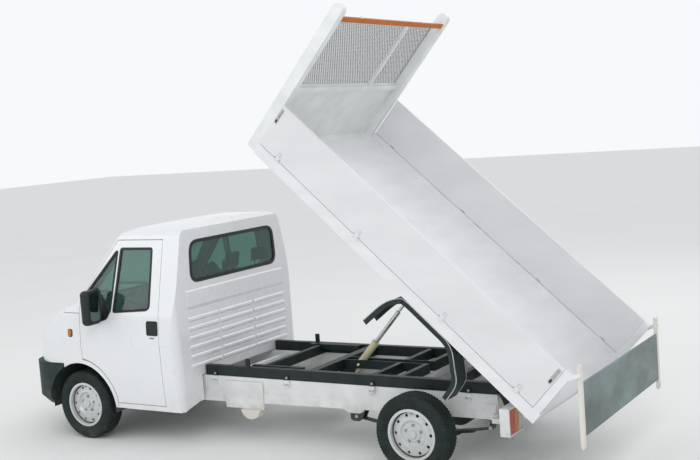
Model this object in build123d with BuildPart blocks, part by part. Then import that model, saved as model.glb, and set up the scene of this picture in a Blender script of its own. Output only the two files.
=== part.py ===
"""Small tipper truck: steel cab, ladder chassis and a tipping bed with drop sides.

Millimetres. X runs rearwards, Y to the vehicle's right and Z up, with the ground at z = 0.
The bed stands raised and its tailboard hangs from the top pins. Lengths along the vehicle
are counted from the front axle. The bed has its own frame: s rearwards along the floor and
n up from it, both counted from the tipping pivot.
"""
import os
from math import cos, radians, sin, sqrt

from build123d import *

os.makedirs("parts", exist_ok=True)

# Wheels and axles
WHEELBASE = 3700.0
FRONT_AXLE_X = -2200.0
TRACK = 1720.0
TYRE_RADIUS = 343.0
WHEEL_Z = TYRE_RADIUS
TYRE_WIDTH = 205.0
BEAD_RADIUS = 203.2
FLANGE_RADIUS = 220.7
RIM_WIDTH = 176.0
RIM_GAUGE = 6.0
DISC_OFFSET = 40.0
VENT_COUNT = 10
VENT_RADIUS = 14.0
VENT_CIRCLE = 165.0
SPINDLE_RADIUS = 28.0
KINGPIN_Y = TRACK / 2 - 80.0
KINGPIN_RADIUS = 14.0
RUNNING_FIT = 0.05
SEAT_GAP = 0.3

# Cab
CAB_HALF_WIDTH = 988.0
CAB_BACK = 1280.0
CAB_FRONT = 800.0
CAB_BOTTOM = 350.0
CAB_TOP = 2112.0
FLOOR_Z = 650.0
GUTTER_HALF_WIDTH = 800.0
WALL = 45.0
SHUT_GAP = 6.0
GLASS_RECESS = 8.0
GLASS_GAUGE = 6.0
ARCH_RADIUS = 430.0
ARCH_INNER_Y = 545.0
DOOR_FRONT = 60.0
DOOR_REAR = 1075.0
DOOR_TOP = 1970.0
REAR_CORNER = 110.0
SCREEN_FOOT_X = -130.0
SCREEN_FOOT_Z = 1320.0
SCREEN_SAG = 108.0
SCREEN_RUN = 0.8295
COWL_X = -150.0
COWL_Z = 1275.0
BONNET_HALF_WIDTH = 640.0
BONNET_FOOT_Z = 905.0
NOSE_CENTRE_X = -311.0
NOSE_CENTRE_Z = 611.0
NOSE_RADIUS = 489.0
BUMPER_FRONT = 863.0
BUMPER_TOP = 757.0
CHIN_TOP = 405.0
CHIN_BOTTOM = 320.0
CHIN_TAPER = 42.0
RIB_COUNT = 6
RIB_TOP = 1225.0
RIB_PITCH = 90.0
RIB_DEPTH = 9.0
DOOR_HINGE_X = 57.0
DOOR_HINGE_Y = CAB_HALF_WIDTH - 3.0
DOOR_HINGE_Z = (850.0, 1040.0)
DOOR_HINGE_RADIUS = 5.0
DOOR_PIN_RADIUS = 2.5
BONNET_HINGE_X = COWL_X - 5.0
BONNET_HINGE_Z = 1302.0
BONNET_HINGE_RADIUS = 4.0
BONNET_PIN_RADIUS = 2.0

# Chassis and tipping subframe
MEMBER_Y = 572.0
MEMBER_WIDTH = 64.0
MEMBER_TOP = 640.0
FLANGE_TOP = 500.0
BRACKET_X = (1382.0, 2213.0, 3120.0, 4050.0)
FRONT_MEMBER_Y = 432.0
CHASSIS_REAR = WHEELBASE + 636.0
RAIL_Y = MEMBER_Y + 1.0
RAIL_WIDTH = 60.0
RAIL_BOTTOM = 643.0
RAIL_TOP = 738.0
RAIL_FRONT = 1300.0
PIVOT_X = WHEELBASE + 715.0
PIVOT_Z = 583.0
PIN_RADIUS = 15.0
CRADLE_HALF = 46.0

# Bed, in its own frame
TILT = 42.1
BED_HALF_WIDTH = 1000.0
BED_FRONT = -2970.0
BED_REAR = 316.0
BEARER_BOTTOM = 163.0
FLOOR_BOTTOM = 232.0
FLOOR_TOP = 285.0
EDGE_TOP = 332.0
SIDE_TOP = 745.0
BOARD = 25.0
POST_DEPTH = 105.0
POST_TOP = 1733.0
PANEL_TOP = 863.0
BAR_HEAD = 1553.0
TAIL_PIN_S = 338.0
TAIL_PIN_N = 785.0
HINGE_Y = BED_HALF_WIDTH + 4.0
HINGE_N = EDGE_TOP + 2.0
HINGE_RADIUS = 8.0
HINGE_S = (-2741.0, -1750.0, -757.0, 55.0)

# Ram, measured along itself from the base pin
RAM_BASE_X = PIVOT_X - 1855.0
RAM_BASE_Z = 568.0
RAM_HEAD_S = -1366.3
RAM_HEAD_N = 7.6
RAM_LENGTH = 1262.0
RAM_PIN_RADIUS = 12.5
BARREL_LENGTH = 446.0
STAGE_STROKE = 386.0

bed_s = (cos(radians(TILT)), 0.0, -sin(radians(TILT)))
bed_n = (sin(radians(TILT)), 0.0, cos(radians(TILT)))
SIDES = (("left", -1), ("right", 1))


def side_plane(y):
    """Side view: x from the front axle and z, with the normal to the left."""
    return Plane(origin=(FRONT_AXLE_X, y, 0), x_dir=(1, 0, 0), z_dir=(0, -1, 0))


def plan_plane(z):
    """Plan view: x from the front axle and y."""
    return Plane(origin=(FRONT_AXLE_X, 0, z))


def cross_plane(x):
    """Cross-section: y and z, with the normal rearwards."""
    return Plane(origin=(FRONT_AXLE_X + x, 0, 0), x_dir=(0, 1, 0), z_dir=(1, 0, 0))


def bed_point(s, y, n):
    """A point of the raised bed."""
    x = FRONT_AXLE_X + PIVOT_X + s * bed_s[0] + n * bed_n[0]
    return (x, y, PIVOT_Z + s * bed_s[2] + n * bed_n[2])


def bed_side(y):
    """Side view of the bed: s and n, with the normal to the left."""
    return Plane(origin=bed_point(0, y, 0), x_dir=bed_s, z_dir=(0, -1, 0))


def bed_cross(s):
    """Cross-section of the bed: y and n, with the normal rearwards."""
    return Plane(origin=bed_point(s, 0, 0), x_dir=(0, 1, 0), z_dir=bed_s)


def ordered(sign, inner, outer):
    """Low and high y of a feature between two distances from the centre line."""
    return (inner, outer) if sign > 0 else (-outer, -inner)


def plate(points, y1, y2, view=side_plane, mode=Mode.ADD):
    """A side-view outline made solid between two values of y."""
    with BuildSketch(view(y2)) as face:
        with BuildLine():
            Polyline(*points, close=True)
        make_face()
    extrude(face.sketch, amount=y2 - y1, mode=mode)


def block(u1, u2, v1, v2, y1, y2, view=side_plane, mode=Mode.ADD):
    """A box between two values of each side-view coordinate and of y."""
    plate(((u1, v1), (u2, v1), (u2, v2), (u1, v2)), y1, y2, view, mode)


def bar(u, v, radius, y1, y2, view=side_plane, mode=Mode.ADD):
    """A round bar or hole across the vehicle."""
    with BuildSketch(view(y2)) as face:
        with Locations((u, v)):
            Circle(radius)
    extrude(face.sketch, amount=y2 - y1, mode=mode)


def save(piece, label):
    """Labels a finished piece and writes it under its own name."""
    piece.part.label = label
    export_step(piece.part, f"parts/{label}.step")


def nose_x(z):
    """How far forward the nose reaches at a height."""
    return NOSE_CENTRE_X - sqrt(NOSE_RADIUS ** 2 - (z - NOSE_CENTRE_Z) ** 2)


def screen_cut(inset):
    """The space ahead of the curved windscreen, moved inwards by an inset."""
    middle = SCREEN_FOOT_X + (1.3 - SCREEN_RUN) * inset
    pillar = middle + SCREEN_SAG
    with BuildSketch(plan_plane(SCREEN_FOOT_Z - inset)) as ahead:
        with BuildLine():
            ThreePointArc((pillar, -955), (middle, 0), (pillar, 955))
            Polyline((pillar, 955), (pillar + 80, 1300), (-1500, 1300), (-1500, -1300),
                     (pillar + 80, -1300), (pillar, -955))
        make_face()
    return ahead.sketch


def cab_solid(inset):
    """The cab's closed outer form, moved inwards by an inset."""
    roof_front = CAB_TOP - 70
    header = (438, CAB_TOP - 122)
    foot = (SCREEN_FOOT_X - 8, SCREEN_FOOT_Z - 2)
    with BuildSketch(side_plane(0)) as side:
        with BuildLine():
            Polyline((-CAB_FRONT, NOSE_CENTRE_Z), (-CAB_FRONT, CAB_BOTTOM), (CAB_BACK, CAB_BOTTOM),
                     (CAB_BACK, CAB_TOP - 60), (CAB_BACK - 60, CAB_TOP - 8))
            ThreePointArc((CAB_BACK - 60, CAB_TOP - 8), (900, CAB_TOP), (560, roof_front))
            ThreePointArc((560, roof_front), (493, CAB_TOP - 90), header)
            Line(header, foot)
            ThreePointArc(foot, (-400, 1155), (-620, 990))
            ThreePointArc((-620, 990), (-752.7, 820.7), (-CAB_FRONT, NOSE_CENTRE_Z))
        make_face()
        if inset > 0:
            offset(amount=-inset, kind=Kind.INTERSECTION)
    with BuildSketch(cross_plane(0)) as across:
        with BuildLine():
            Polyline((0, CAB_BOTTOM - 5), (CAB_HALF_WIDTH - 30, CAB_BOTTOM - 5),
                     (CAB_HALF_WIDTH - 6, 660), (CAB_HALF_WIDTH, 1000), (CAB_HALF_WIDTH - 20, 1260),
                     (GUTTER_HALF_WIDTH, CAB_TOP - 122))
            ThreePointArc((GUTTER_HALF_WIDTH, CAB_TOP - 122), (GUTTER_HALF_WIDTH - 48, CAB_TOP - 60),
                          (GUTTER_HALF_WIDTH - 150, CAB_TOP - 28))
            Polyline((GUTTER_HALF_WIDTH - 150, CAB_TOP - 28), (0, CAB_TOP + 2), (0, CAB_BOTTOM - 5))
        make_face()
        mirror(about=Plane.YZ)
        if inset > 0:
            offset(amount=-inset, kind=Kind.INTERSECTION)
    wide = CAB_HALF_WIDTH + 2
    back = CAB_BACK + 2
    turn = REAR_CORNER * (1 - cos(radians(45)))
    with BuildSketch(plan_plane(0)) as plan:
        with BuildLine():
            ThreePointArc((-CAB_FRONT - 2, 0), (-CAB_FRONT + 45, 500), (-660, wide - 170))
            ThreePointArc((-660, wide - 170), (-520, wide - 55), (-300, wide))
            Line((-300, wide), (back - REAR_CORNER, wide))
            ThreePointArc((back - REAR_CORNER, wide), (back - turn, wide - turn), (back, wide - REAR_CORNER))
            Polyline((back, wide - REAR_CORNER), (back, 0), (-CAB_FRONT - 2, 0))
        make_face()
        mirror(about=Plane.XZ)
        if inset > 0:
            offset(amount=-inset, kind=Kind.INTERSECTION)
    with BuildPart() as solid:
        extrude(side.sketch, amount=CAB_HALF_WIDTH + 20, both=True)
        extrude(across.sketch, amount=3000, both=True, mode=Mode.INTERSECT)
        extrude(plan.sketch, amount=CAB_TOP + 100, mode=Mode.INTERSECT)
        extrude(screen_cut(inset), amount=1100, dir=Vector(SCREEN_RUN, 0, 1).normalized(),
                mode=Mode.SUBTRACT)
    return solid.part


cab_inner = cab_solid(WALL)
cab_skin = cab_solid(0) - cab_inner
cab_lining = cab_solid(WALL + SEAT_GAP)
glass_skin = cab_solid(GLASS_RECESS) - cab_solid(GLASS_RECESS + GLASS_GAUGE)


def door_outline(grow):
    """The door in side view, grown outwards."""
    with BuildSketch(side_plane(0)) as outline:
        with BuildLine():
            arch = CenterArc((0, WHEEL_Z), ARCH_RADIUS + 52, 12, 70.8)
            Polyline(arch @ 0, (arch @ 0 + Vector(0, -40)), (DOOR_REAR, 405), (DOOR_REAR, DOOR_TOP),
                     (511, DOOR_TOP), (DOOR_FRONT, 1400), arch @ 1)
        make_face()
        if grow != 0:
            offset(amount=grow, kind=Kind.INTERSECTION)
    return outline.sketch


def door_panes(grow):
    """The quarter glass and the drop glass of a door in side view."""
    with BuildSketch(side_plane(0)) as panes:
        with BuildLine():
            Polyline((125, 1300), (468, 1290), (518, 1868), (495, 1868), (125, 1460), close=True)
        make_face()
        with BuildLine():
            Polyline((502, 1290), (930, 1318), (962, 1345), (955, 1896), (552, 1896), close=True)
        make_face()
        if grow != 0:
            offset(amount=grow, kind=Kind.INTERSECTION)
    return panes.sketch


def screen_outline(half_low, half_high, z_low, z_high, x, grow):
    """A fixed window seen along the vehicle."""
    with BuildSketch(cross_plane(x)) as opening:
        with BuildLine():
            Polyline((-half_low, z_low), (half_low, z_low), (half_high, z_high), (-half_high, z_high),
                     close=True)
        make_face()
        fillet(opening.vertices(), radius=65)
        if grow != 0:
            offset(amount=grow)
    return opening.sketch


def bonnet_space(grow, foot, mode):
    """Everything above the bonnet's outline in plan, grown outwards."""
    half = BONNET_HALF_WIDTH + grow
    block(-1000, COWL_X - 10 + grow, foot, 1500, -half, half, mode=mode)


def front_clip(grow):
    """Everything ahead of the doors and below the windscreen in side view."""
    with BuildSketch(side_plane(0)) as clip:
        with BuildLine():
            arch = CenterArc((0, WHEEL_Z), ARCH_RADIUS + 46, 12, 70.8)
            Polyline(arch @ 0, (arch @ 0 + Vector(0, -300)), (-1000, 100), (-1000, 1400),
                     (COWL_X, 1400), (COWL_X, COWL_Z), (DOOR_FRONT, COWL_Z), arch @ 1)
        make_face()
        if grow != 0:
            offset(amount=grow, kind=Kind.INTERSECTION)
    return clip.sketch


def cut_arches(inner=ARCH_INNER_Y):
    """Opens both front wheel arches in the piece being made."""
    bar(0, WHEEL_Z, ARCH_RADIUS, -1100, -inner, mode=Mode.SUBTRACT)
    bar(0, WHEEL_Z, ARCH_RADIUS, inner, 1100, mode=Mode.SUBTRACT)


def inside_skin(piece):
    """Trims a piece to lie just inside the cab's skin."""
    with BuildPart() as trimmed:
        add(piece)
        add(cab_lining, mode=Mode.INTERSECT)
    return trimmed.part


with BuildPart() as bulkhead:
    block(-60, -30, FLOOR_Z, 1280, -CAB_HALF_WIDTH, CAB_HALF_WIDTH)
    for side, sign in SIDES:
        block(-31, 50, FLOOR_Z, 1228, *ordered(sign, CAB_HALF_WIDTH - 98, CAB_HALF_WIDTH))
with BuildPart() as arch_edges:
    for side, sign in SIDES:
        y1, y2 = ordered(sign, CAB_HALF_WIDTH - 89, CAB_HALF_WIDTH)
        with BuildSketch(side_plane(y2)) as arch_edge:
            with Locations((0, WHEEL_Z)):
                Circle(ARCH_RADIUS + 8)
                Circle(ARCH_RADIUS, mode=Mode.SUBTRACT)
                Rectangle(1000, 110, mode=Mode.SUBTRACT)
            with Locations((0, WHEEL_Z - 500), (-1045, WHEEL_Z)):
                Rectangle(2000, 1000, mode=Mode.SUBTRACT)
        extrude(arch_edge.sketch, amount=y2 - y1)
windscreen = (CAB_HALF_WIDTH - 108, GUTTER_HALF_WIDTH - 55, 1352, 1968, -600)
rear_window = (GUTTER_HALF_WIDTH - 110, GUTTER_HALF_WIDTH - 133, 1550, 1935, 1100)
cab_floor_half = CAB_HALF_WIDTH - 73

# Cab shell: floor, firewall, pillars, roof and back wall
with BuildPart() as cab_shell:
    add(cab_skin)
    block(-1000, 1300, 300, FLOOR_Z, -640, 640, mode=Mode.SUBTRACT)
    extrude(front_clip(0), amount=1100, both=True, mode=Mode.SUBTRACT)
    extrude(door_outline(SHUT_GAP), amount=1100, both=True, mode=Mode.SUBTRACT)
    extrude(screen_outline(*windscreen, 0), amount=1100, mode=Mode.SUBTRACT)
    extrude(screen_outline(*rear_window, 0), amount=400, mode=Mode.SUBTRACT)
    add(inside_skin(bulkhead.part))
    block(-60, CAB_BACK - WALL + 5, FLOOR_Z, FLOOR_Z + 30, -cab_floor_half, cab_floor_half)
    block(-120, -30, 1262, 1290, 88 - CAB_HALF_WIDTH, CAB_HALF_WIDTH - 88)
    cut_arches()
    for side, sign in SIDES:
        y1, y2 = ordered(sign, ARCH_INNER_Y - 8, CAB_HALF_WIDTH - 88)
        with BuildSketch(side_plane(y2)) as wheelhouse:
            with Locations((0, WHEEL_Z)):
                Circle(ARCH_RADIUS + 8)
            with Locations((0, WHEEL_Z - 250)):
                Rectangle(1000, 500, mode=Mode.SUBTRACT)
        extrude(wheelhouse.sketch, amount=y2 - y1)
        y1, y2 = ordered(sign, ARCH_INNER_Y, 1100)
        bar(0, WHEEL_Z, ARCH_RADIUS, y1, y2, mode=Mode.SUBTRACT)
        block(200, 260, MEMBER_TOP + SEAT_GAP, FLOOR_Z + 1, *ordered(sign, 405, 460))
        block(1150, 1210, MEMBER_TOP + SEAT_GAP, FLOOR_Z + 1, *ordered(sign, 545, 600))
    add(inside_skin(arch_edges.part))
    proud = CAB_BACK + RIB_DEPTH
    rib_half = CAB_HALF_WIDTH - 208
    plate(((CAB_BACK - 2, 1482), (proud, 1466), (proud, 1325), (CAB_BACK - 2, 1290)), -rib_half, rib_half)
    for rib in range(RIB_COUNT):
        top = RIB_TOP - rib * RIB_PITCH
        for y1, y2 in ((-rib_half, -326), (-300, 227), (253, rib_half)):
            plate(((CAB_BACK - 2, top), (proud, top - 14), (proud, top - 34), (CAB_BACK - 2, top - 50)), y1, y2)
    with BuildSketch(cross_plane(CAB_BACK - 150)) as clearance:
        with BuildLine():
            side_foot = CAB_HALF_WIDTH - 83
            Polyline((-side_foot, 300), (-side_foot, 358), (-700, 405), (700, 405), (side_foot, 358),
                     (side_foot, 300), close=True)
        make_face()
    extrude(clearance.sketch, amount=200, mode=Mode.SUBTRACT)
    for y1, y2 in ((548, 558), (602, 612), (-558, -548), (-612, -602)):
        bar(BONNET_HINGE_X, BONNET_HINGE_Z, BONNET_HINGE_RADIUS, y1, y2)
        block(BONNET_HINGE_X + 1, COWL_X + 8, BONNET_HINGE_Z - 3, BONNET_HINGE_Z + 3, y1, y2)
    for side, sign in SIDES:
        bar(BONNET_HINGE_X, BONNET_HINGE_Z, BONNET_PIN_RADIUS, *ordered(sign, 548, 612))
save(cab_shell, "cab_shell")

# Front wings, either side of the bonnet
headlamp_box = (-1000, -540, 768, 866)
headlamp_outer = CAB_HALF_WIDTH - 138


def hinge_disc(sign, radius, z, height, mode=Mode.ADD):
    """A disc about the axis of a door's hinge."""
    with BuildSketch(plan_plane(z)) as disc:
        with Locations((DOOR_HINGE_X, sign * DOOR_HINGE_Y)):
            Circle(radius)
    extrude(disc.sketch, amount=height, mode=mode)


with BuildPart() as front_wings:
    add(cab_skin)
    extrude(front_clip(-SHUT_GAP), amount=1100, both=True, mode=Mode.INTERSECT)
    bonnet_space(SHUT_GAP, BONNET_FOOT_Z, Mode.SUBTRACT)
    block(-1000, -206, 200, BUMPER_TOP + 5, -1100, 1100, mode=Mode.SUBTRACT)
    block(-1000, 600, 200, 1500, -445, 445, mode=Mode.SUBTRACT)
    wing_inner = CAB_HALF_WIDTH - 83
    block(-206, 600, 200, FLOOR_Z + 36, -wing_inner, wing_inner, mode=Mode.SUBTRACT)
    block(*headlamp_box, -headlamp_outer, headlamp_outer, mode=Mode.SUBTRACT)
    block(COWL_X - 10, 100, 1190, 1400, -wing_inner, wing_inner, mode=Mode.SUBTRACT)
    cut_arches()
    for side, sign in SIDES:
        for z in DOOR_HINGE_Z:
            hinge_disc(sign, DOOR_HINGE_RADIUS + 2, z - 10, 44, Mode.SUBTRACT)
            for low in (z - 9, z + 25):
                hinge_disc(sign, DOOR_HINGE_RADIUS, low, 8)
                block(DOOR_HINGE_X - 12, DOOR_HINGE_X, low, low + 8,
                      *ordered(sign, DOOR_HINGE_Y - 5, DOOR_HINGE_Y - 1))
            hinge_disc(sign, DOOR_PIN_RADIUS, z - 9, 42)
save(front_wings, "front_wings")

with BuildPart() as headlamps:
    add(cab_skin)
    block(headlamp_box[0], headlamp_box[1] - SEAT_GAP, headlamp_box[2] + SEAT_GAP,
          headlamp_box[3] - SEAT_GAP, SEAT_GAP - headlamp_outer, headlamp_outer - SEAT_GAP,
          mode=Mode.INTERSECT)
    block(-1000, 600, 200, 1500, -455, 455, mode=Mode.SUBTRACT)
save(headlamps, "headlamps")

with BuildPart() as bonnet:
    add(cab_skin)
    bonnet_space(0, BONNET_FOOT_Z + SHUT_GAP, Mode.INTERSECT)
    for side, sign in SIDES:
        y1, y2 = ordered(sign, 560, 600)
        block(BONNET_HINGE_X - 12, BONNET_HINGE_X - 1, BONNET_HINGE_Z - 3, BONNET_HINGE_Z + 3, y1, y2)
        bar(BONNET_HINGE_X, BONNET_HINGE_Z, BONNET_HINGE_RADIUS, y1, y2)
        bar(BONNET_HINGE_X, BONNET_HINGE_Z, BONNET_PIN_RADIUS + RUNNING_FIT, y1, y2, mode=Mode.SUBTRACT)
save(bonnet, "bonnet")

# Front bumper, with the grille above it
def bumper_region(inner):
    """Half of the bumper's outline in plan, or of the hollow behind it."""
    wide = CAB_HALF_WIDTH
    with BuildSketch() as region:
        with BuildLine():
            if inner:
                ThreePointArc((-800, 0), (-765, 480), (-650, wide - 188))
                ThreePointArc((-650, wide - 188), (-550, wide - 95), (-390, wide - 52))
                Polyline((-390, wide - 52), (-100, wide - 52), (-100, 0), (-800, 0))
            else:
                ThreePointArc((-BUMPER_FRONT, 0), (-832, 500), (-703, wide - 138))
                ThreePointArc((-703, wide - 138), (-590, wide - 40), (-400, wide + 8))
                Polyline((-400, wide + 8), (-212, wide + 8), (-212, 0), (-BUMPER_FRONT, 0))
        make_face()
        mirror(about=Plane.XZ)
    return region.sketch


with BuildPart() as front_bumper:
    upwards = Plane(origin=(FRONT_AXLE_X, 0, CHIN_TOP))
    downwards = Plane(origin=(FRONT_AXLE_X, 0, CHIN_TOP), x_dir=(1, 0, 0), z_dir=(0, 0, -1))
    for inner, mode in ((False, Mode.ADD), (True, Mode.SUBTRACT)):
        region = bumper_region(inner)
        extrude(upwards * region, amount=BUMPER_TOP - CHIN_TOP, mode=mode)
        extrude(downwards * region, amount=CHIN_TOP - CHIN_BOTTOM, taper=CHIN_TAPER, mode=mode)
    for slat in range(4):
        low = BUMPER_TOP + 12 + slat * 32
        face = nose_x(low + 9) + 4
        block(face, face + 30, low, low + 18, -440, 440)
    foot, head = BUMPER_TOP - 8, BUMPER_TOP + 130
    for y in (-438, -10, 418):
        plate(((nose_x(foot) + 10, foot), (nose_x(foot) + 40, foot), (nose_x(head) + 40, head),
               (nose_x(head) + 10, head)), y, y + 20)
    block(-815, -735, BUMPER_TOP - 14, BUMPER_TOP, -470, 470)
    block(-790, -630 - SEAT_GAP, 410, 520, -470, 470)
    cut_arches()
    for side, sign in SIDES:
        bar(0, WHEEL_Z, ARCH_RADIUS + 8 + SHUT_GAP, *ordered(sign, ARCH_INNER_Y - 14, CAB_HALF_WIDTH - 82),
            mode=Mode.SUBTRACT)
save(front_bumper, "front_bumper")

# Doors and what they carry
for side, sign in SIDES:
    y1, y2 = ordered(sign, 500, 1100)
    with BuildPart() as door:
        add(cab_skin)
        extrude(door_outline(0), amount=1100, both=True, mode=Mode.INTERSECT)
        block(-500, 1500, 200, 2300, y1, y2, mode=Mode.INTERSECT)
        extrude(door_panes(0), amount=1100, both=True, mode=Mode.SUBTRACT)
        for z in DOOR_HINGE_Z:
            hinge_disc(sign, DOOR_HINGE_RADIUS + 2, z - 10, 44, Mode.SUBTRACT)
            hinge_disc(sign, DOOR_HINGE_RADIUS, z, 24)
            block(DOOR_HINGE_X, DOOR_HINGE_X + 13, z, z + 24,
                  *ordered(sign, DOOR_HINGE_Y - 5, DOOR_HINGE_Y - 1))
            hinge_disc(sign, DOOR_PIN_RADIUS + RUNNING_FIT, z, 24, Mode.SUBTRACT)
    save(door, f"door_{side}")
    with BuildPart() as door_glass:
        add(glass_skin)
        extrude(door_panes(-SEAT_GAP), amount=1100, both=True, mode=Mode.INTERSECT)
        block(-500, 1500, 200, 2300, y1, y2, mode=Mode.INTERSECT)
    save(door_glass, f"door_glass_{side}")
    with BuildPart() as mirror_head:
        with BuildSketch(plan_plane(1190)) as head:
            with Locations((348, sign * (CAB_HALF_WIDTH + 107))):
                RectangleRounded(110, 200, 48)
        extrude(amount=335)
        fillet(mirror_head.faces().sort_by(Axis.Z)[-1].edges() + mirror_head.faces().sort_by(Axis.Z)[0].edges(),
               radius=40)
        block(308, 368, 1225, 1262, *ordered(sign, CAB_HALF_WIDTH - 15.5, CAB_HALF_WIDTH + 30))
    save(mirror_head, f"mirror_{side}")

with BuildPart() as cab_glass:
    add(glass_skin)
    extrude(screen_outline(*windscreen, -SEAT_GAP), amount=1100, mode=Mode.INTERSECT)
with BuildPart() as rear_glass:
    add(glass_skin)
    extrude(screen_outline(*rear_window, -SEAT_GAP), amount=400, mode=Mode.INTERSECT)
with BuildPart() as fixed_glass:
    add(cab_glass.part)
    add(rear_glass.part)
save(fixed_glass, "cab_glass")

# Inside the cab
with BuildPart() as dashboard:
    plate(((-29.7, 860), (120, 860), (215, 1010), (190, 1150), (60, 1205), (-29.7, 1205)),
          104 - CAB_HALF_WIDTH, CAB_HALF_WIDTH - 104)
    add(cab_solid(WALL + 12), mode=Mode.INTERSECT)
    with BuildSketch(Plane(origin=(FRONT_AXLE_X + 290, -430, 1140), z_dir=(0.74, 0, 0.67))):
        Circle(205)
        Circle(180, mode=Mode.SUBTRACT)
        Rectangle(370, 34)
        Circle(48)
    extrude(amount=24)
    with BuildSketch(Plane(origin=(FRONT_AXLE_X + 290, -430, 1140), z_dir=(0.74, 0, 0.67))):
        Circle(30)
    extrude(amount=-240)
save(dashboard, "dashboard")

with BuildPart() as seats:
    for y1, y2 in ((110 - GUTTER_HALF_WIDTH, -210), (-30, GUTTER_HALF_WIDTH + 40)):
        seat_base = FLOOR_Z + 30 + SEAT_GAP
        block(500, 940, seat_base, 870, y1 + 30, y2 - 30)
        plate(((470, 870), (960, 870), (960, 975), (480, 1010)), y1, y2)
        plate(((900, 960), (1010, 960), (1130, 1560), (1050, 1560)), y1, y2)
    for y in (-450, 190, GUTTER_HALF_WIDTH - 180):
        plate(((1055, 1550), (1120, 1550), (1150, 1735), (1085, 1735)), y - 120, y + 120)
save(seats, "seats")

with BuildPart() as engine_block:
    block(-560, -110, 430, 950, -260, 260)
    plate(((-120, 440), (500, 450), (500, 590), (-120, 635)), -170, 170)
    for y in (-1, 1):
        y1, y2 = ordered(y, 250, FRONT_MEMBER_Y - 32.3)
        block(-420, -340, 470, 540, y1, y2)
save(engine_block, "engine_block")

# Chassis: two members narrower at the front, cross members and hangers
with BuildPart() as chassis_frame:
    half = MEMBER_WIDTH / 2
    with BuildSketch(plan_plane(391)):
        with BuildLine():
            Polyline((-630, FRONT_MEMBER_Y - half), (560, FRONT_MEMBER_Y - half),
                     (860, MEMBER_Y - half), (CHASSIS_REAR, MEMBER_Y - half),
                     (CHASSIS_REAR, MEMBER_Y + half), (830, MEMBER_Y + half),
                     (530, FRONT_MEMBER_Y + half), (-630, FRONT_MEMBER_Y + half), close=True)
        make_face()
        mirror(about=Plane.XZ)
    extrude(amount=MEMBER_TOP - 391)
    rise = WHEELBASE - 690
    plate(((rise - 10, 300), (CHASSIS_REAR + 100, 300), (CHASSIS_REAR + 100, 432), (rise - 10, 422)),
          -1000, 1000, mode=Mode.SUBTRACT)
    plate(((1300, 300), (rise, 300), (rise, 421), (1300, 392)), -1000, 1000, mode=Mode.SUBTRACT)
    for x, low, high in ((-629, 430, 560), (620, 545, 630), (1420, 510, 620), (2280, 460, 620),
                         (WHEELBASE - 450, 440, 520), (CHASSIS_REAR - 66, 445, 620)):
        y_to = FRONT_MEMBER_Y - half + 5 if x < 600 else MEMBER_Y - half + 5
        block(x, x + 60, low, high, -y_to, y_to)
    for side, sign in SIDES:
        y1, y2 = ordered(sign, MEMBER_Y + half - 4, MEMBER_Y + half + 12)
        block(1524, 1963, 345, 600, y1, y2)
        y1, y2 = ordered(sign, MEMBER_Y - 30, MEMBER_Y + 30)
        hanger = WHEELBASE - 724
        plate(((hanger - 154, 440), (hanger + 76, 440), (hanger + 66, 404), (hanger + 24, 384),
               (hanger - 50, 384), (hanger - 110, 396), (hanger - 154, 424)), y1, y2)
        y1, y2 = ordered(sign, MEMBER_Y + half - 4, MEMBER_Y + half + 1)
        block(CAB_BACK + 10, CHASSIS_REAR + 10, FLANGE_TOP, MEMBER_TOP + 1, y1, y2, mode=Mode.SUBTRACT)
        y1, y2 = ordered(sign, MEMBER_Y + half - 6, MEMBER_Y + half + 22)
        for x in BRACKET_X:
            plate(((x, MEMBER_TOP + 2), (x + 64, MEMBER_TOP + 2), (x + 56, 580), (x + 8, 580)), y1, y2)
        for cheek in (-41, 31):
            y1, y2 = ordered(sign, MEMBER_Y + cheek, MEMBER_Y + cheek + 10)
            shackle = WHEELBASE + 564
            plate(((shackle - 34, 560), (shackle + 66, 560), (shackle + 46, 430), (shackle - 2, 430)), y1, y2)
save(chassis_frame, "chassis_frame")

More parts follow.
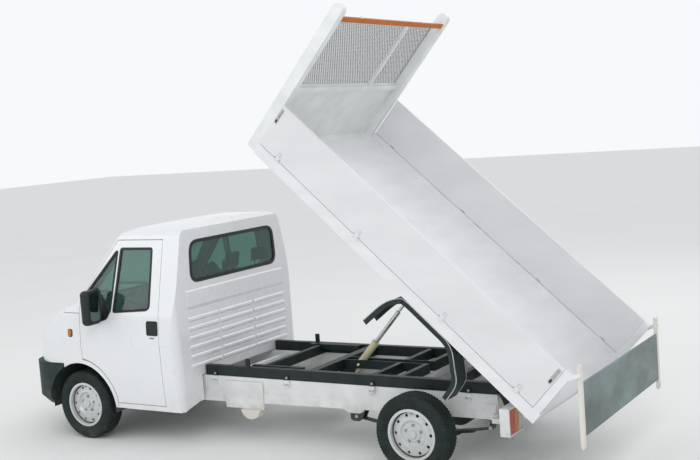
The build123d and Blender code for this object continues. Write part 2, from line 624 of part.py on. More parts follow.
with BuildPart() as tipper_subframe:
    half = RAIL_WIDTH / 2
    rail_end = CHASSIS_REAR + 4
    ear_foot = PIVOT_X - 115
    for side, sign in SIDES:
        block(RAIL_FRONT, rail_end, RAIL_BOTTOM, RAIL_TOP, *ordered(sign, RAIL_Y - half, RAIL_Y + half))
        block(1790, 2360, 690, RAIL_TOP + 4, *ordered(sign, RAIL_Y - 103, RAIL_Y - 55))
        block(1780, 1824, RAIL_TOP - 1, 817, *ordered(sign, RAIL_Y + half - 16, RAIL_Y + half))
        for x in BRACKET_X:
            block(x + 8, x + 56, RAIL_BOTTOM + 2, RAIL_BOTTOM + 42,
                  *ordered(sign, RAIL_Y + half - 1, RAIL_Y + half + 8))
        for inner, outer in ((-58, -43), (-3, 12)):
            y1, y2 = ordered(sign, RAIL_Y + inner, RAIL_Y + outer)
            with BuildSketch(side_plane(y2)) as ear:
                with BuildLine():
                    Polyline((ear_foot, 650), (ear_foot, RAIL_TOP - 4), (PIVOT_X + 37, RAIL_TOP - 50),
                             (PIVOT_X + 40, PIVOT_Z), (PIVOT_X - 40, PIVOT_Z), (PIVOT_X - 70, RAIL_BOTTOM + 1),
                             close=True)
                make_face()
                with Locations((PIVOT_X, PIVOT_Z)):
                    Circle(40)
            extrude(ear.sketch, amount=y2 - y1)
        bar(PIVOT_X, PIVOT_Z, PIN_RADIUS, *ordered(sign, RAIL_Y - 65, RAIL_Y + 19))
    inside = RAIL_Y - half + 1
    for x, depth in ((1880, 50), (RAM_BASE_X - 120, 90), (WHEELBASE + 160, 60), (WHEELBASE + 570, 66)):
        block(x, x + depth, RAIL_BOTTOM, RAIL_TOP - 6, -inside, inside)
    for side, sign in SIDES:
        for x in (RAM_BASE_X + 550, RAM_BASE_X + 820):
            block(x, x + 50, RAIL_BOTTOM, RAIL_TOP - 6, *ordered(sign, CRADLE_HALF, inside))
        plate(((RAM_BASE_X - 120, 650), (RAM_BASE_X - 120, RAIL_TOP - 6), (RAM_BASE_X + 870, RAIL_TOP - 6),
               (RAM_BASE_X + 870, 650), (RAM_BASE_X + 90, 650), (RAM_BASE_X + 38, 560), (RAM_BASE_X + 10, 532),
               (RAM_BASE_X - 40, 545)), *ordered(sign, CRADLE_HALF, CRADLE_HALF + 14))
    bar(RAM_BASE_X, RAM_BASE_Z, RAM_PIN_RADIUS, -CRADLE_HALF - 18, CRADLE_HALF + 18)
save(tipper_subframe, "tipper_subframe")

with BuildPart() as hydraulic_tank:
    with BuildSketch(side_plane(-540)) as tank:
        with Locations((1835, 372)):
            Circle(113)
        with Locations((1835, 344.7 + 200)):
            Rectangle(400, 400, mode=Mode.SUBTRACT)
    extrude(tank.sketch, amount=120)
    block(1750, 1920, 330, 344.7, -650, -616)
save(hydraulic_tank, "hydraulic_tank")

with BuildPart() as fuel_tank:
    with BuildSketch(cross_plane(1560)):
        with Locations((790, 440)):
            RectangleRounded(290, 250, 45)
    extrude(amount=700)
    for x in (1640, 2120):
        block(x, x + 50, 560, 590, 616.3, 790)
save(fuel_tank, "fuel_tank")

with BuildPart() as exhaust:
    with BuildSketch(cross_plane(1500)):
        with Locations((330, 385)):
            Ellipse(110, 70)
    extrude(amount=560)
    with BuildSketch(cross_plane(300)):
        with Locations((330, 385)):
            Circle(26)
    extrude(amount=2600)
    block(2290, 2330, 400, 459.7, 310, 350)
    block(1430, 1470, 400, 509.7, 310, 350)
save(exhaust, "exhaust")

# Axles, springs and steering knuckles
front_x, rear_x = 0.0, WHEELBASE
with BuildPart() as front_suspension:
    block(-60, 60, 215, 300, 45 - KINGPIN_Y, KINGPIN_Y - 45)
    for side, sign in SIDES:
        y1, y2 = ordered(sign, FRONT_MEMBER_Y - 32, FRONT_MEMBER_Y + 32)
        block(-70, 70, 290, 390.7, y1, y2)
        y1, y2 = ordered(sign, KINGPIN_Y - 80, KINGPIN_Y)
        block(-28, 28, 215, 250, y1, y2)
        block(-28, 28, 436, 470, y1, y2)
        y1, y2 = ordered(sign, KINGPIN_Y - 80, KINGPIN_Y - 45)
        block(-28, 28, 215, 470, y1, y2)
        with BuildSketch(plan_plane(215)) as boss:
            with Locations((0, sign * KINGPIN_Y)):
                Circle(28)
        extrude(boss.sketch, amount=35)
        with BuildSketch(plan_plane(436)) as boss:
            with Locations((0, sign * KINGPIN_Y)):
                Circle(28)
        extrude(boss.sketch, amount=34)
        with BuildSketch(plan_plane(215)) as kingpin:
            with Locations((0, sign * KINGPIN_Y)):
                Circle(KINGPIN_RADIUS)
        extrude(kingpin.sketch, amount=255)
save(front_suspension, "front_suspension")

for side, sign in SIDES:
    with BuildPart() as knuckle:
        with BuildSketch(plan_plane(253)) as post:
            with Locations((0, sign * KINGPIN_Y)):
                Circle(26)
        extrude(post.sketch, amount=180)
        y1, y2 = ordered(sign, KINGPIN_Y, KINGPIN_Y + 60)
        bar(0, WHEEL_Z, 55, y1, y2)
        y1, y2 = ordered(sign, KINGPIN_Y + 30, TRACK / 2 + 70)
        bar(0, WHEEL_Z, SPINDLE_RADIUS, y1, y2)
        y1, y2 = ordered(sign, KINGPIN_Y + 20, TRACK / 2 + 8)
        bar(0, WHEEL_Z, 130, *ordered(sign, TRACK / 2 - 40, TRACK / 2 + DISC_OFFSET - 12))
        with BuildSketch(plan_plane(200)) as kingpin:
            with Locations((0, sign * KINGPIN_Y)):
                Circle(KINGPIN_RADIUS + RUNNING_FIT)
        extrude(kingpin.sketch, amount=300, mode=Mode.SUBTRACT)
    save(knuckle, f"knuckle_{side}")

with BuildPart() as rear_axle:
    bar(rear_x, WHEEL_Z, 45, -TRACK / 2 + 20, TRACK / 2 - 20)
    with BuildSketch(side_plane(0)):
        with Locations((rear_x, WHEEL_Z)):
            Circle(150)
    extrude(amount=75, both=True)
    with BuildSketch(cross_plane(rear_x - 260)):
        with Locations((0, WHEEL_Z)):
            Circle(60)
    extrude(amount=200)
    for side, sign in SIDES:
        bar(rear_x, WHEEL_Z, SPINDLE_RADIUS, *ordered(sign, TRACK / 2 - 60, TRACK / 2 + 70))
        bar(rear_x, WHEEL_Z, 140, *ordered(sign, TRACK / 2 - 60, TRACK / 2 + DISC_OFFSET - 12))
    with BuildSketch(Plane(origin=(FRONT_AXLE_X + rear_x - 240, 0, WHEEL_Z), z_dir=(-1, 0, 0.055))):
        Circle(35)
    extrude(amount=rear_x - 240 - 504)
save(rear_axle, "rear_axle")

with BuildPart() as leaf_springs:
    for side, sign in SIDES:
        y1, y2 = ordered(sign, MEMBER_Y - 31 + SEAT_GAP, MEMBER_Y + 31 - SEAT_GAP)
        for leaf, reach in ((0, 1.0), (1, 0.72), (2, 0.48), (3, 0.26)):
            low = 284 - leaf * 11.3
            with BuildSketch(side_plane(y2)) as strip:
                with BuildLine():
                    rise = 62 * reach * reach
                    x1, x2 = rear_x - 720 * reach, rear_x + 560 * reach
                    top = ThreePointArc((x1, low + 11 + rise), (rear_x, low + 11), (x2, low + 11 + rise))
                    under = ThreePointArc((x1, low + rise), (rear_x, low), (x2, low + rise))
                    Line(top @ 0, under @ 0)
                    Line(top @ 1, under @ 1)
                make_face()
            extrude(strip.sketch, amount=y2 - y1)
        block(rear_x - 64, rear_x + 64, 236, 297.7, *ordered(sign, MEMBER_Y - 36, MEMBER_Y + 36))
        hanger, shackle = WHEELBASE - 724, WHEELBASE + 564
        bar(hanger, 362, 20, y1, y2)
        bar(shackle, 362, 20, y1, y2)
        plate(((shackle - 18, 362), (shackle + 18, 362), (shackle + 32, 427), (shackle + 2, 427)),
              *ordered(sign, MEMBER_Y + 4, MEMBER_Y + 28))
        for cheek in (-41, 30.5):
            plate(((hanger - 66, 383.7), (hanger + 24, 383.7), (hanger + 66, 403.7), (hanger + 84, 403.7),
                   (hanger + 50, 335), (hanger + 22, 318), (hanger - 40, 318), (hanger - 66, 335)),
                  *ordered(sign, MEMBER_Y + cheek, MEMBER_Y + cheek + 10.5))
    for x in (rear_x - 63, rear_x + 47):
        for side, sign in SIDES:
            block(x, x + 16, 250, 400, *ordered(sign, MEMBER_Y - 40, MEMBER_Y - 30))
            block(x, x + 16, 250, 400, *ordered(sign, MEMBER_Y + 30, MEMBER_Y + 40))
save(leaf_springs, "leaf_springs")

with BuildPart() as tail_lamps:
    block(4336.3, 4380, 440, 500, -700, 700)
    for side, sign in SIDES:
        block(4340, 4500, 440, 480, *ordered(sign, 690, 740))
        block(4493, 4576, 392, 616, *ordered(sign, 632, 920))
        block(4564, 4577, 404, 604, *ordered(sign, 644, 908), mode=Mode.SUBTRACT)
save(tail_lamps, "tail_lamps")

# Wheels
half = RIM_WIDTH / 2
lip = half - 10
disc = DISC_OFFSET
inside_rim = BEAD_RADIUS - RIM_GAUGE
well = BEAD_RADIUS - 20
bore = SPINDLE_RADIUS + RUNNING_FIT
# Rim section: radius, distance outwards from the wheel's middle
rim_section = ((FLANGE_RADIUS, -half), (FLANGE_RADIUS, -lip), (BEAD_RADIUS, -lip), (BEAD_RADIUS, -lip + 26),
               (BEAD_RADIUS - 14, -lip + 40), (BEAD_RADIUS - 14, lip - 40), (BEAD_RADIUS, lip - 26),
               (BEAD_RADIUS, lip), (FLANGE_RADIUS, lip), (FLANGE_RADIUS, half), (inside_rim, half),
               (inside_rim, lip - 30), (well, disc + 8), (120, disc + 20), (105, disc), (70, disc),
               (60, disc + 14), (bore, disc + 14), (bore, disc - 8), (110, disc - 8), (124, disc + 12),
               (BEAD_RADIUS - 28, disc - 2), (well, disc - 30), (well, -lip + 40), (inside_rim, -lip + 24),
               (inside_rim, -half))
bead = lip - SEAT_GAP
bead_foot = BEAD_RADIUS + SEAT_GAP
toe = (FLANGE_RADIUS + 3, bead)
heel = (FLANGE_RADIUS + 8, bead + 14)
widest = (TYRE_RADIUS - 71, TYRE_WIDTH / 2)
shoulder = (TYRE_RADIUS - 20, TYRE_WIDTH / 2 - 12)
crown = (TYRE_RADIUS - 4, TYRE_WIDTH / 2 - 26)


def inboard(point):
    """The same point of a wheel's section on its inner side."""
    return (point[0], -point[1])


def across(sign, *points):
    """Sketch points of a wheel's section on one side of the vehicle."""
    return [(radius, sign * (TRACK / 2 + outwards)) for radius, outwards in points]


for end, axle in (("front", front_x), ("rear", rear_x)):
    for side, sign in SIDES:
        hub = Plane(origin=(FRONT_AXLE_X + axle, 0, WHEEL_Z))
        spin = Axis((FRONT_AXLE_X + axle, 0, WHEEL_Z), (0, 1, 0))
        with BuildPart() as rim:
            with BuildSketch(hub) as section:
                with BuildLine():
                    Polyline(*across(sign, *rim_section), close=True)
                make_face()
            revolve(section.sketch, axis=spin)
            with BuildSketch(Plane(origin=(FRONT_AXLE_X + axle, 0, WHEEL_Z), x_dir=(1, 0, 0),
                                   z_dir=(0, -1, 0))) as vents:
                with PolarLocations(VENT_CIRCLE, VENT_COUNT):
                    Circle(VENT_RADIUS)
            extrude(vents.sketch, amount=1100, both=True, mode=Mode.SUBTRACT)
        save(rim, f"rim_{end}_{side}")
        with BuildPart() as tyre:
            with BuildSketch(hub) as section:
                with BuildLine():
                    Polyline(*across(sign, heel, toe, (bead_foot, bead), (bead_foot, -bead), inboard(toe),
                                     inboard(heel)))
                    ThreePointArc(*across(sign, inboard(heel), inboard(widest), inboard(shoulder)))
                    Line(*across(sign, inboard(shoulder), inboard(crown)))
                    ThreePointArc(*across(sign, inboard(crown), (TYRE_RADIUS, 0), crown))
                    Line(*across(sign, crown, shoulder))
                    ThreePointArc(*across(sign, shoulder, widest, heel))
                make_face()
            revolve(section.sketch, axis=spin)
        save(tyre, f"tyre_{end}_{side}")

# Bed: floor with its edge rails, bearers, pivot lugs and ram bracket
with BuildPart() as bed_floor:
    block(BED_FRONT, BED_REAR, FLOOR_TOP - 40, FLOOR_TOP, -BED_HALF_WIDTH, BED_HALF_WIDTH, bed_side)
    block(BED_REAR - 30, BED_REAR, FLOOR_BOTTOM, EDGE_TOP - 40, 70 - BED_HALF_WIDTH, BED_HALF_WIDTH - 70,
          bed_side)
    for s in range(9):
        start = BED_FRONT + 60 + s * 380
        block(start, start + 50, FLOOR_BOTTOM, FLOOR_TOP - 39, 38 - BED_HALF_WIDTH, BED_HALF_WIDTH - 38,
              bed_side)
    for side, sign in SIDES:
        block(BED_FRONT, BED_REAR, FLOOR_BOTTOM, EDGE_TOP,
              *ordered(sign, BED_HALF_WIDTH - 40, BED_HALF_WIDTH), bed_side)
        block(-2950, 290, BEARER_BOTTOM, FLOOR_TOP - 39, *ordered(sign, RAIL_Y - 50, RAIL_Y + 7), bed_side)
        block(240, 306, EDGE_TOP - 5, SIDE_TOP, *ordered(sign, BED_HALF_WIDTH - 50, BED_HALF_WIDTH), bed_side)
        y1, y2 = ordered(sign, BED_HALF_WIDTH - 16, BED_HALF_WIDTH)
        with BuildSketch(bed_side(y2)) as eye:
            with BuildLine():
                Polyline((250, 690), (306, 690), (TAIL_PIN_S + 16, TAIL_PIN_N), (TAIL_PIN_S - 16, TAIL_PIN_N),
                         close=True)
            make_face()
            with Locations((TAIL_PIN_S, TAIL_PIN_N)):
                Circle(18)
        extrude(eye.sketch, amount=y2 - y1)
        bar(TAIL_PIN_S, TAIL_PIN_N, 9, *ordered(sign, BED_HALF_WIDTH - 66, BED_HALF_WIDTH - 10), bed_side)
        for s in HINGE_S:
            with BuildSketch(bed_cross(s - 19.5)) as notch:
                with Locations((sign * HINGE_Y, HINGE_N)):
                    Circle(HINGE_RADIUS + 1)
            extrude(notch.sketch, amount=39, mode=Mode.SUBTRACT)
            for lug in (s - 32, s + 20):
                block(lug, lug + 12, HINGE_N - 14, HINGE_N + 4.5,
                      *ordered(sign, BED_HALF_WIDTH - 2, HINGE_Y + 6), bed_side)
            with BuildSketch(bed_cross(s - 26)) as pin:
                with Locations((sign * HINGE_Y, HINGE_N)):
                    Circle(4)
            extrude(pin.sketch, amount=52)
        y1, y2 = ordered(sign, RAIL_Y - 33, RAIL_Y - 13)
        plate(((-60, 200), (80, 200), (38, 10), (-38, 10)), y1, y2, bed_side)
        bar(0, 0, 38, y1, y2, bed_side)
        bar(0, 0, PIN_RADIUS + RUNNING_FIT, *ordered(sign, RAIL_Y - 73, RAIL_Y + 27), bed_side, Mode.SUBTRACT)
        y1, y2 = ordered(sign, 26, 40)
        plate(((RAM_HEAD_S - 90, 170), (RAM_HEAD_S + 90, 170), (RAM_HEAD_S + 28, RAM_HEAD_N - 25),
               (RAM_HEAD_S - 28, RAM_HEAD_N - 25), (RAM_HEAD_S - 34, RAM_HEAD_N + 60)), y1, y2, bed_side)
    block(RAM_HEAD_S - 95, RAM_HEAD_S + 95, BEARER_BOTTOM, FLOOR_TOP - 39, -70, 70, bed_side)
    block(RAM_HEAD_S - 60, RAM_HEAD_S + 60, BEARER_BOTTOM + 8, FLOOR_TOP - 39, 48 - RAIL_Y, RAIL_Y - 48,
          bed_side)
    bar(RAM_HEAD_S, RAM_HEAD_N, RAM_PIN_RADIUS, -44, 44, bed_side)
save(bed_floor, "bed_floor")

post_inner = BED_HALF_WIDTH - 95
with BuildPart() as headboard_frame:
    back = BED_FRONT - POST_DEPTH
    for side, sign in SIDES:
        y1, y2 = ordered(sign, post_inner, post_inner + 70)
        block(back, BED_FRONT - SEAT_GAP, FLOOR_BOTTOM, POST_TOP - 40, y1, y2, bed_side)
        with BuildSketch(bed_side(y2)) as cap:
            with Locations(((back + BED_FRONT) / 2, POST_TOP - 52)):
                Circle(POST_DEPTH / 2 - 0.5)
        extrude(cap.sketch, amount=y2 - y1)
    between = post_inner + 1
    block(back + 6, back + 31, FLOOR_BOTTOM, PANEL_TOP, -between, between, bed_side)
    block(back + 6, back + 58, PANEL_TOP - 30, PANEL_TOP + 25, -between, between, bed_side)
    block(back + 30, BED_FRONT - SEAT_GAP, FLOOR_TOP - 40, FLOOR_TOP, -between, between, bed_side)
    mesh_face = back + 18
    bar_face = mesh_face + SEAT_GAP
    bar_foot = PANEL_TOP + 20
    angle_y = 164 - BED_HALF_WIDTH
    block(bar_face, bar_face + 6, bar_foot, BAR_HEAD, angle_y, angle_y + 67, bed_side)
    block(bar_face, bar_face + 25, bar_foot, BAR_HEAD, angle_y, angle_y + 7, bed_side)
    block(bar_face, bar_face + 25, bar_foot, BAR_HEAD, 375, 412, bed_side)
save(headboard_frame, "headboard_frame")

with BuildPart() as headboard_mesh:
    mesh_half = post_inner - SEAT_GAP
    block(mesh_face - 4, mesh_face, PANEL_TOP + 25 + SEAT_GAP, 1600, -mesh_half, mesh_half, bed_side)
save(headboard_mesh, "headboard_mesh")

with BuildPart() as headboard_bar:
    block(back + 86, BED_FRONT - 2, 1600, 1645, -mesh_half, mesh_half, bed_side)
save(headboard_bar, "headboard_bar")

for side, sign in SIDES:
    with BuildPart() as dropside:
        block(BED_FRONT + 6, 234, EDGE_TOP + 6, SIDE_TOP,
              *ordered(sign, BED_HALF_WIDTH - BOARD, BED_HALF_WIDTH), bed_side)
        for s in HINGE_S:
            block(s - 38, s + 38, EDGE_TOP, EDGE_TOP + 18,
                  *ordered(sign, BED_HALF_WIDTH - 30, BED_HALF_WIDTH + 2), bed_side, Mode.SUBTRACT)
            block(s - 18, s + 18, HINGE_N, HINGE_N + 70, *ordered(sign, BED_HALF_WIDTH - 0.5, HINGE_Y + 2),
                  bed_side)
            with BuildSketch(bed_cross(s - 18)) as knuckle:
                with Locations((sign * HINGE_Y, HINGE_N)):
                    Circle(HINGE_RADIUS)
            extrude(knuckle.sketch, amount=36)
            with BuildSketch(bed_cross(s - 30)) as bore:
                with Locations((sign * HINGE_Y, HINGE_N)):
                    Circle(4 + RUNNING_FIT)
            extrude(bore.sketch, amount=60, mode=Mode.SUBTRACT)
    save(dropside, f"dropside_{side}")


def tail_side(y):
    """Side view of the hanging tailboard: rearwards and up from its pins."""
    return Plane(origin=bed_point(TAIL_PIN_S, y, TAIL_PIN_N), x_dir=(1, 0, 0), z_dir=(0, -1, 0))


with BuildPart() as tailboard:
    post = BED_HALF_WIDTH - 62
    block(-9, 9, -480, -70, -post - 1, post + 1, tail_side)
    for side, sign in SIDES:
        block(-15, 15, -540, 75, *ordered(sign, post, post + 42), tail_side)
        bar(0, 0, 9 + RUNNING_FIT, *ordered(sign, post - 30, post + 50), tail_side, Mode.SUBTRACT)
save(tailboard, "tailboard")

# Rear mudguards, hung under the bed over the wheels
guard_outer = ((-1285, -201), (-1235, 63), (-1149, 191), (-1095, 212), (-565, 212), (-429, 80),
               (-330, -5), (-320, -183))
guard_inner = ((-326, -183), (-336, -8), (-434, 75), (-568, 206), (-1092, 206), (-1144, 187),
               (-1229, 60), (-1279, -201))
guard_lip = ((-365, -183), (-374, -27), (-458, 47), (-580, 167), (-1090, 167), (-1120, 155),
             (-1193, 48), (-1240, -201))
with BuildPart() as rear_mudguards:
    inner, outer = TRACK / 2 - 75, TRACK / 2 + 105
    for side, sign in SIDES:
        plate(guard_outer + guard_inner, *ordered(sign, inner, outer), bed_side)
        plate(guard_outer + guard_lip, *ordered(sign, inner, inner + 6), bed_side)
        plate(guard_outer + guard_lip, *ordered(sign, outer - 6, outer), bed_side)
        for s in (-1000, -620):
            block(s, s + 30, 210, FLOOR_BOTTOM - SEAT_GAP, *ordered(sign, inner + 15, outer - 25), bed_side)
save(rear_mudguards, "rear_mudguards")

# Telescopic ram, standing along the bed's normal
base = (FRONT_AXLE_X + RAM_BASE_X, 0, RAM_BASE_Z)


def ram_plane(distance):
    """A plane across the ram at a distance from its base pin."""
    origin = (base[0] + distance * bed_n[0], 0, base[2] + distance * bed_n[2])
    return Plane(origin=origin, x_dir=(0, 1, 0), z_dir=bed_n)


def ram_tube(start, end, outer, bore, bore_start, bore_end):
    """One stage of the ram with the bore that holds the next one."""
    with BuildSketch(ram_plane(start)) as body:
        Circle(outer)
    extrude(body.sketch, amount=end - start)
    if bore > 0:
        with BuildSketch(ram_plane(bore_start)) as hole:
            Circle(bore)
        extrude(hole.sketch, amount=bore_end - bore_start, mode=Mode.SUBTRACT)


with BuildPart() as ram_barrel:
    ram_tube(0, BARREL_LENGTH, 34, 21.3, 32, BARREL_LENGTH + 1)
    bar(RAM_BASE_X, RAM_BASE_Z, 30, -38, 38)
    bar(RAM_BASE_X, RAM_BASE_Z, RAM_PIN_RADIUS + RUNNING_FIT, -60, 60, mode=Mode.SUBTRACT)
save(ram_barrel, "ram_barrel")

with BuildPart() as ram_stage_1:
    ram_tube(34 + STAGE_STROKE, 462 + STAGE_STROKE, 21, 13.3, 48 + STAGE_STROKE, 463 + STAGE_STROKE)
save(ram_stage_1, "ram_stage_1")

with BuildPart() as ram_stage_2:
    ram_tube(50 + 2 * STAGE_STROKE, RAM_LENGTH, 13, 0, 0, 0)
    bar(RAM_HEAD_S, RAM_HEAD_N, 22, -22, 22, bed_side)
    bar(RAM_HEAD_S, RAM_HEAD_N, RAM_PIN_RADIUS + RUNNING_FIT, -44, 44, bed_side, Mode.SUBTRACT)
save(ram_stage_2, "ram_stage_2")
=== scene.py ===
"""Looks of the small tipper truck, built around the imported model.

Metres, in the model's own frame: +X rearwards, +Y to the vehicle's right, +Z up. Lengths named
in the truck's own terms are counted from the front axle, and the bed has its own frame:
s rearwards along the floor and n up from it, both from the tipping pivot.
"""
import math

import bmesh
import bpy
from mathutils import Matrix, Vector


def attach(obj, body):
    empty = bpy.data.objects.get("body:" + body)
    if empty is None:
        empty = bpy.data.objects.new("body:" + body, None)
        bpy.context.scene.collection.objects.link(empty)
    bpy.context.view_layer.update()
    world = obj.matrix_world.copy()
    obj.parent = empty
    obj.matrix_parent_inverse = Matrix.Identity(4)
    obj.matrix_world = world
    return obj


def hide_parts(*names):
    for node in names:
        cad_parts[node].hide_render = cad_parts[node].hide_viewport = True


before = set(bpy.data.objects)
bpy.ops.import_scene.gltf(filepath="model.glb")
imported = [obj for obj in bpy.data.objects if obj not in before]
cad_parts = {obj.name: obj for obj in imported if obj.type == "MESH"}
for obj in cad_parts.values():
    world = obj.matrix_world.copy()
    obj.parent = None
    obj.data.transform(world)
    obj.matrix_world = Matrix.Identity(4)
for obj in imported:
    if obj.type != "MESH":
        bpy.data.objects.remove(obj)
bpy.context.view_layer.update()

# Places in metres, in the model's frame
AXLE_X = -2.2
REAR_AXLE_X = 1.5
HUB_Z = 0.343
TRACK_HALF = 0.86
TILT = math.radians(42.1)
PIVOT = Vector((AXLE_X + 4.415, 0.0, 0.583))
BED = Matrix.Translation(PIVOT) @ Matrix.Rotation(TILT, 4, "Y")
SIDES = (("left", -1), ("right", 1))

# Places and sizes in millimetres, with x from the front axle
RAM_BASE = (2560, 0, 568)
WHEEL_Z = 343
ARCH_RADIUS = 430
CAB_BACK = 1280

# The camera that the photograph was solved for
CAMERA_PLACE = (6.003, -8.8434, 2.9333)
CAMERA_AZIMUTH, CAMERA_ELEVATION, CAMERA_ROLL = (math.radians(a) for a in (32.068, 5.394, 4.245))
SENSOR_WIDTH = 36.0
PHOTO_WIDTH = 700
FOCAL_PIXELS = 1127.51
FOCAL_LENGTH = FOCAL_PIXELS / PHOTO_WIDTH * SENSOR_WIDTH

# The light: name, place, size and power of each lamp, and the sky as it lights and as it is seen
LIGHT_AIM = (0.0, 0.0, 1.4)
LAMPS = (
    ("key", (6.0, -9.0, 9.0), (6.0, 6.0), 330.0),
    ("fill", (-9.0, -7.0, 6.0), (6.0, 6.0), 120.0),
    ("back", (2.0, 9.0, 8.0), (6.0, 5.0), 120.0),
)
SKY_COLOR = (0.93, 0.95, 0.97, 1)
SKY_LIGHT, SKY_SEEN = 0.86, 1.0
FLOOR_REACH = 60.0


def at(x, y, z):
    """A point given in millimetres, with x from the front axle."""
    return Vector((AXLE_X + x / 1000, y / 1000, z / 1000))


def on_bed(s, y, n):
    """A point of the bed given in millimetres."""
    return BED @ Vector((s / 1000, y / 1000, n / 1000))


def make_camera():
    """Stands the camera where the photograph was taken from."""
    azimuth, elevation, roll = CAMERA_AZIMUTH, CAMERA_ELEVATION, CAMERA_ROLL
    forward = Vector((-math.sin(azimuth) * math.cos(elevation),
                      math.cos(azimuth) * math.cos(elevation), -math.sin(elevation)))
    right = Vector((math.cos(azimuth), math.sin(azimuth), 0.0))
    down = forward.cross(right)
    image_x = math.cos(roll) * right + math.sin(roll) * down
    image_y = -math.sin(roll) * right + math.cos(roll) * down
    data = bpy.data.cameras.new("camera")
    data.sensor_width = SENSOR_WIDTH
    data.lens = FOCAL_LENGTH
    data.clip_end = 200.0
    camera = bpy.data.objects.new("camera", data)
    bpy.context.scene.collection.objects.link(camera)
    turn = Matrix((image_x, -image_y, -forward)).transposed().to_4x4()
    camera.matrix_world = Matrix.Translation(CAMERA_PLACE) @ turn
    bpy.context.scene.camera = camera


def make_area_light(name, place, size, power):
    """A rectangular lamp turned towards the middle of the truck."""
    data = bpy.data.lights.new(name, "AREA")
    data.shape = "RECTANGLE"
    data.size, data.size_y = size
    data.energy = power
    light = bpy.data.objects.new(name, data)
    bpy.context.scene.collection.objects.link(light)
    light.location = place
    light.rotation_euler = (Vector(LIGHT_AIM) - Vector(place)).to_track_quat("-Z", "Y").to_euler()


def make_world():
    """Soft grey light, seen as white by the camera and by glass and metal."""
    world = bpy.data.worlds.new("world")
    bpy.context.scene.world = world
    world.use_nodes = True
    tree = world.node_tree
    background = tree.nodes["Background"]
    paths = tree.nodes.new("ShaderNodeLightPath")
    seen = paths.outputs["Is Camera Ray"]
    for kind in ("Is Glossy Ray", "Is Transmission Ray"):
        both = tree.nodes.new("ShaderNodeMath")
        both.operation = "MAXIMUM"
        tree.links.new(seen, both.inputs[0])
        tree.links.new(paths.outputs[kind], both.inputs[1])
        seen = both.outputs[0]
    mix = tree.nodes.new("ShaderNodeMix")
    mix.data_type = "FLOAT"
    mix.inputs["A"].default_value = SKY_LIGHT
    mix.inputs["B"].default_value = SKY_SEEN
    tree.links.new(seen, mix.inputs["Factor"])
    tree.links.new(mix.outputs["Result"], background.inputs["Strength"])
    background.inputs["Color"].default_value = SKY_COLOR


def make_floor():
    """A pale ground that is no part of the truck."""
    mesh = bpy.data.meshes.new("floor")
    corners = [(x * FLOOR_REACH, y * FLOOR_REACH, 0) for x, y in ((-1, -1), (1, -1), (1, 1), (-1, 1))]
    mesh.from_pydata(corners, [], [(0, 1, 2, 3)])
    floor = bpy.data.objects.new("floor", mesh)
    bpy.context.scene.collection.objects.link(floor)
    mesh.materials.append(floor_grey.material)


# The colour sockets of a Mix node, which share their names with those of other kinds
MIX_FACTOR, MIX_A, MIX_B, MIX_RESULT = 0, 6, 7, 2


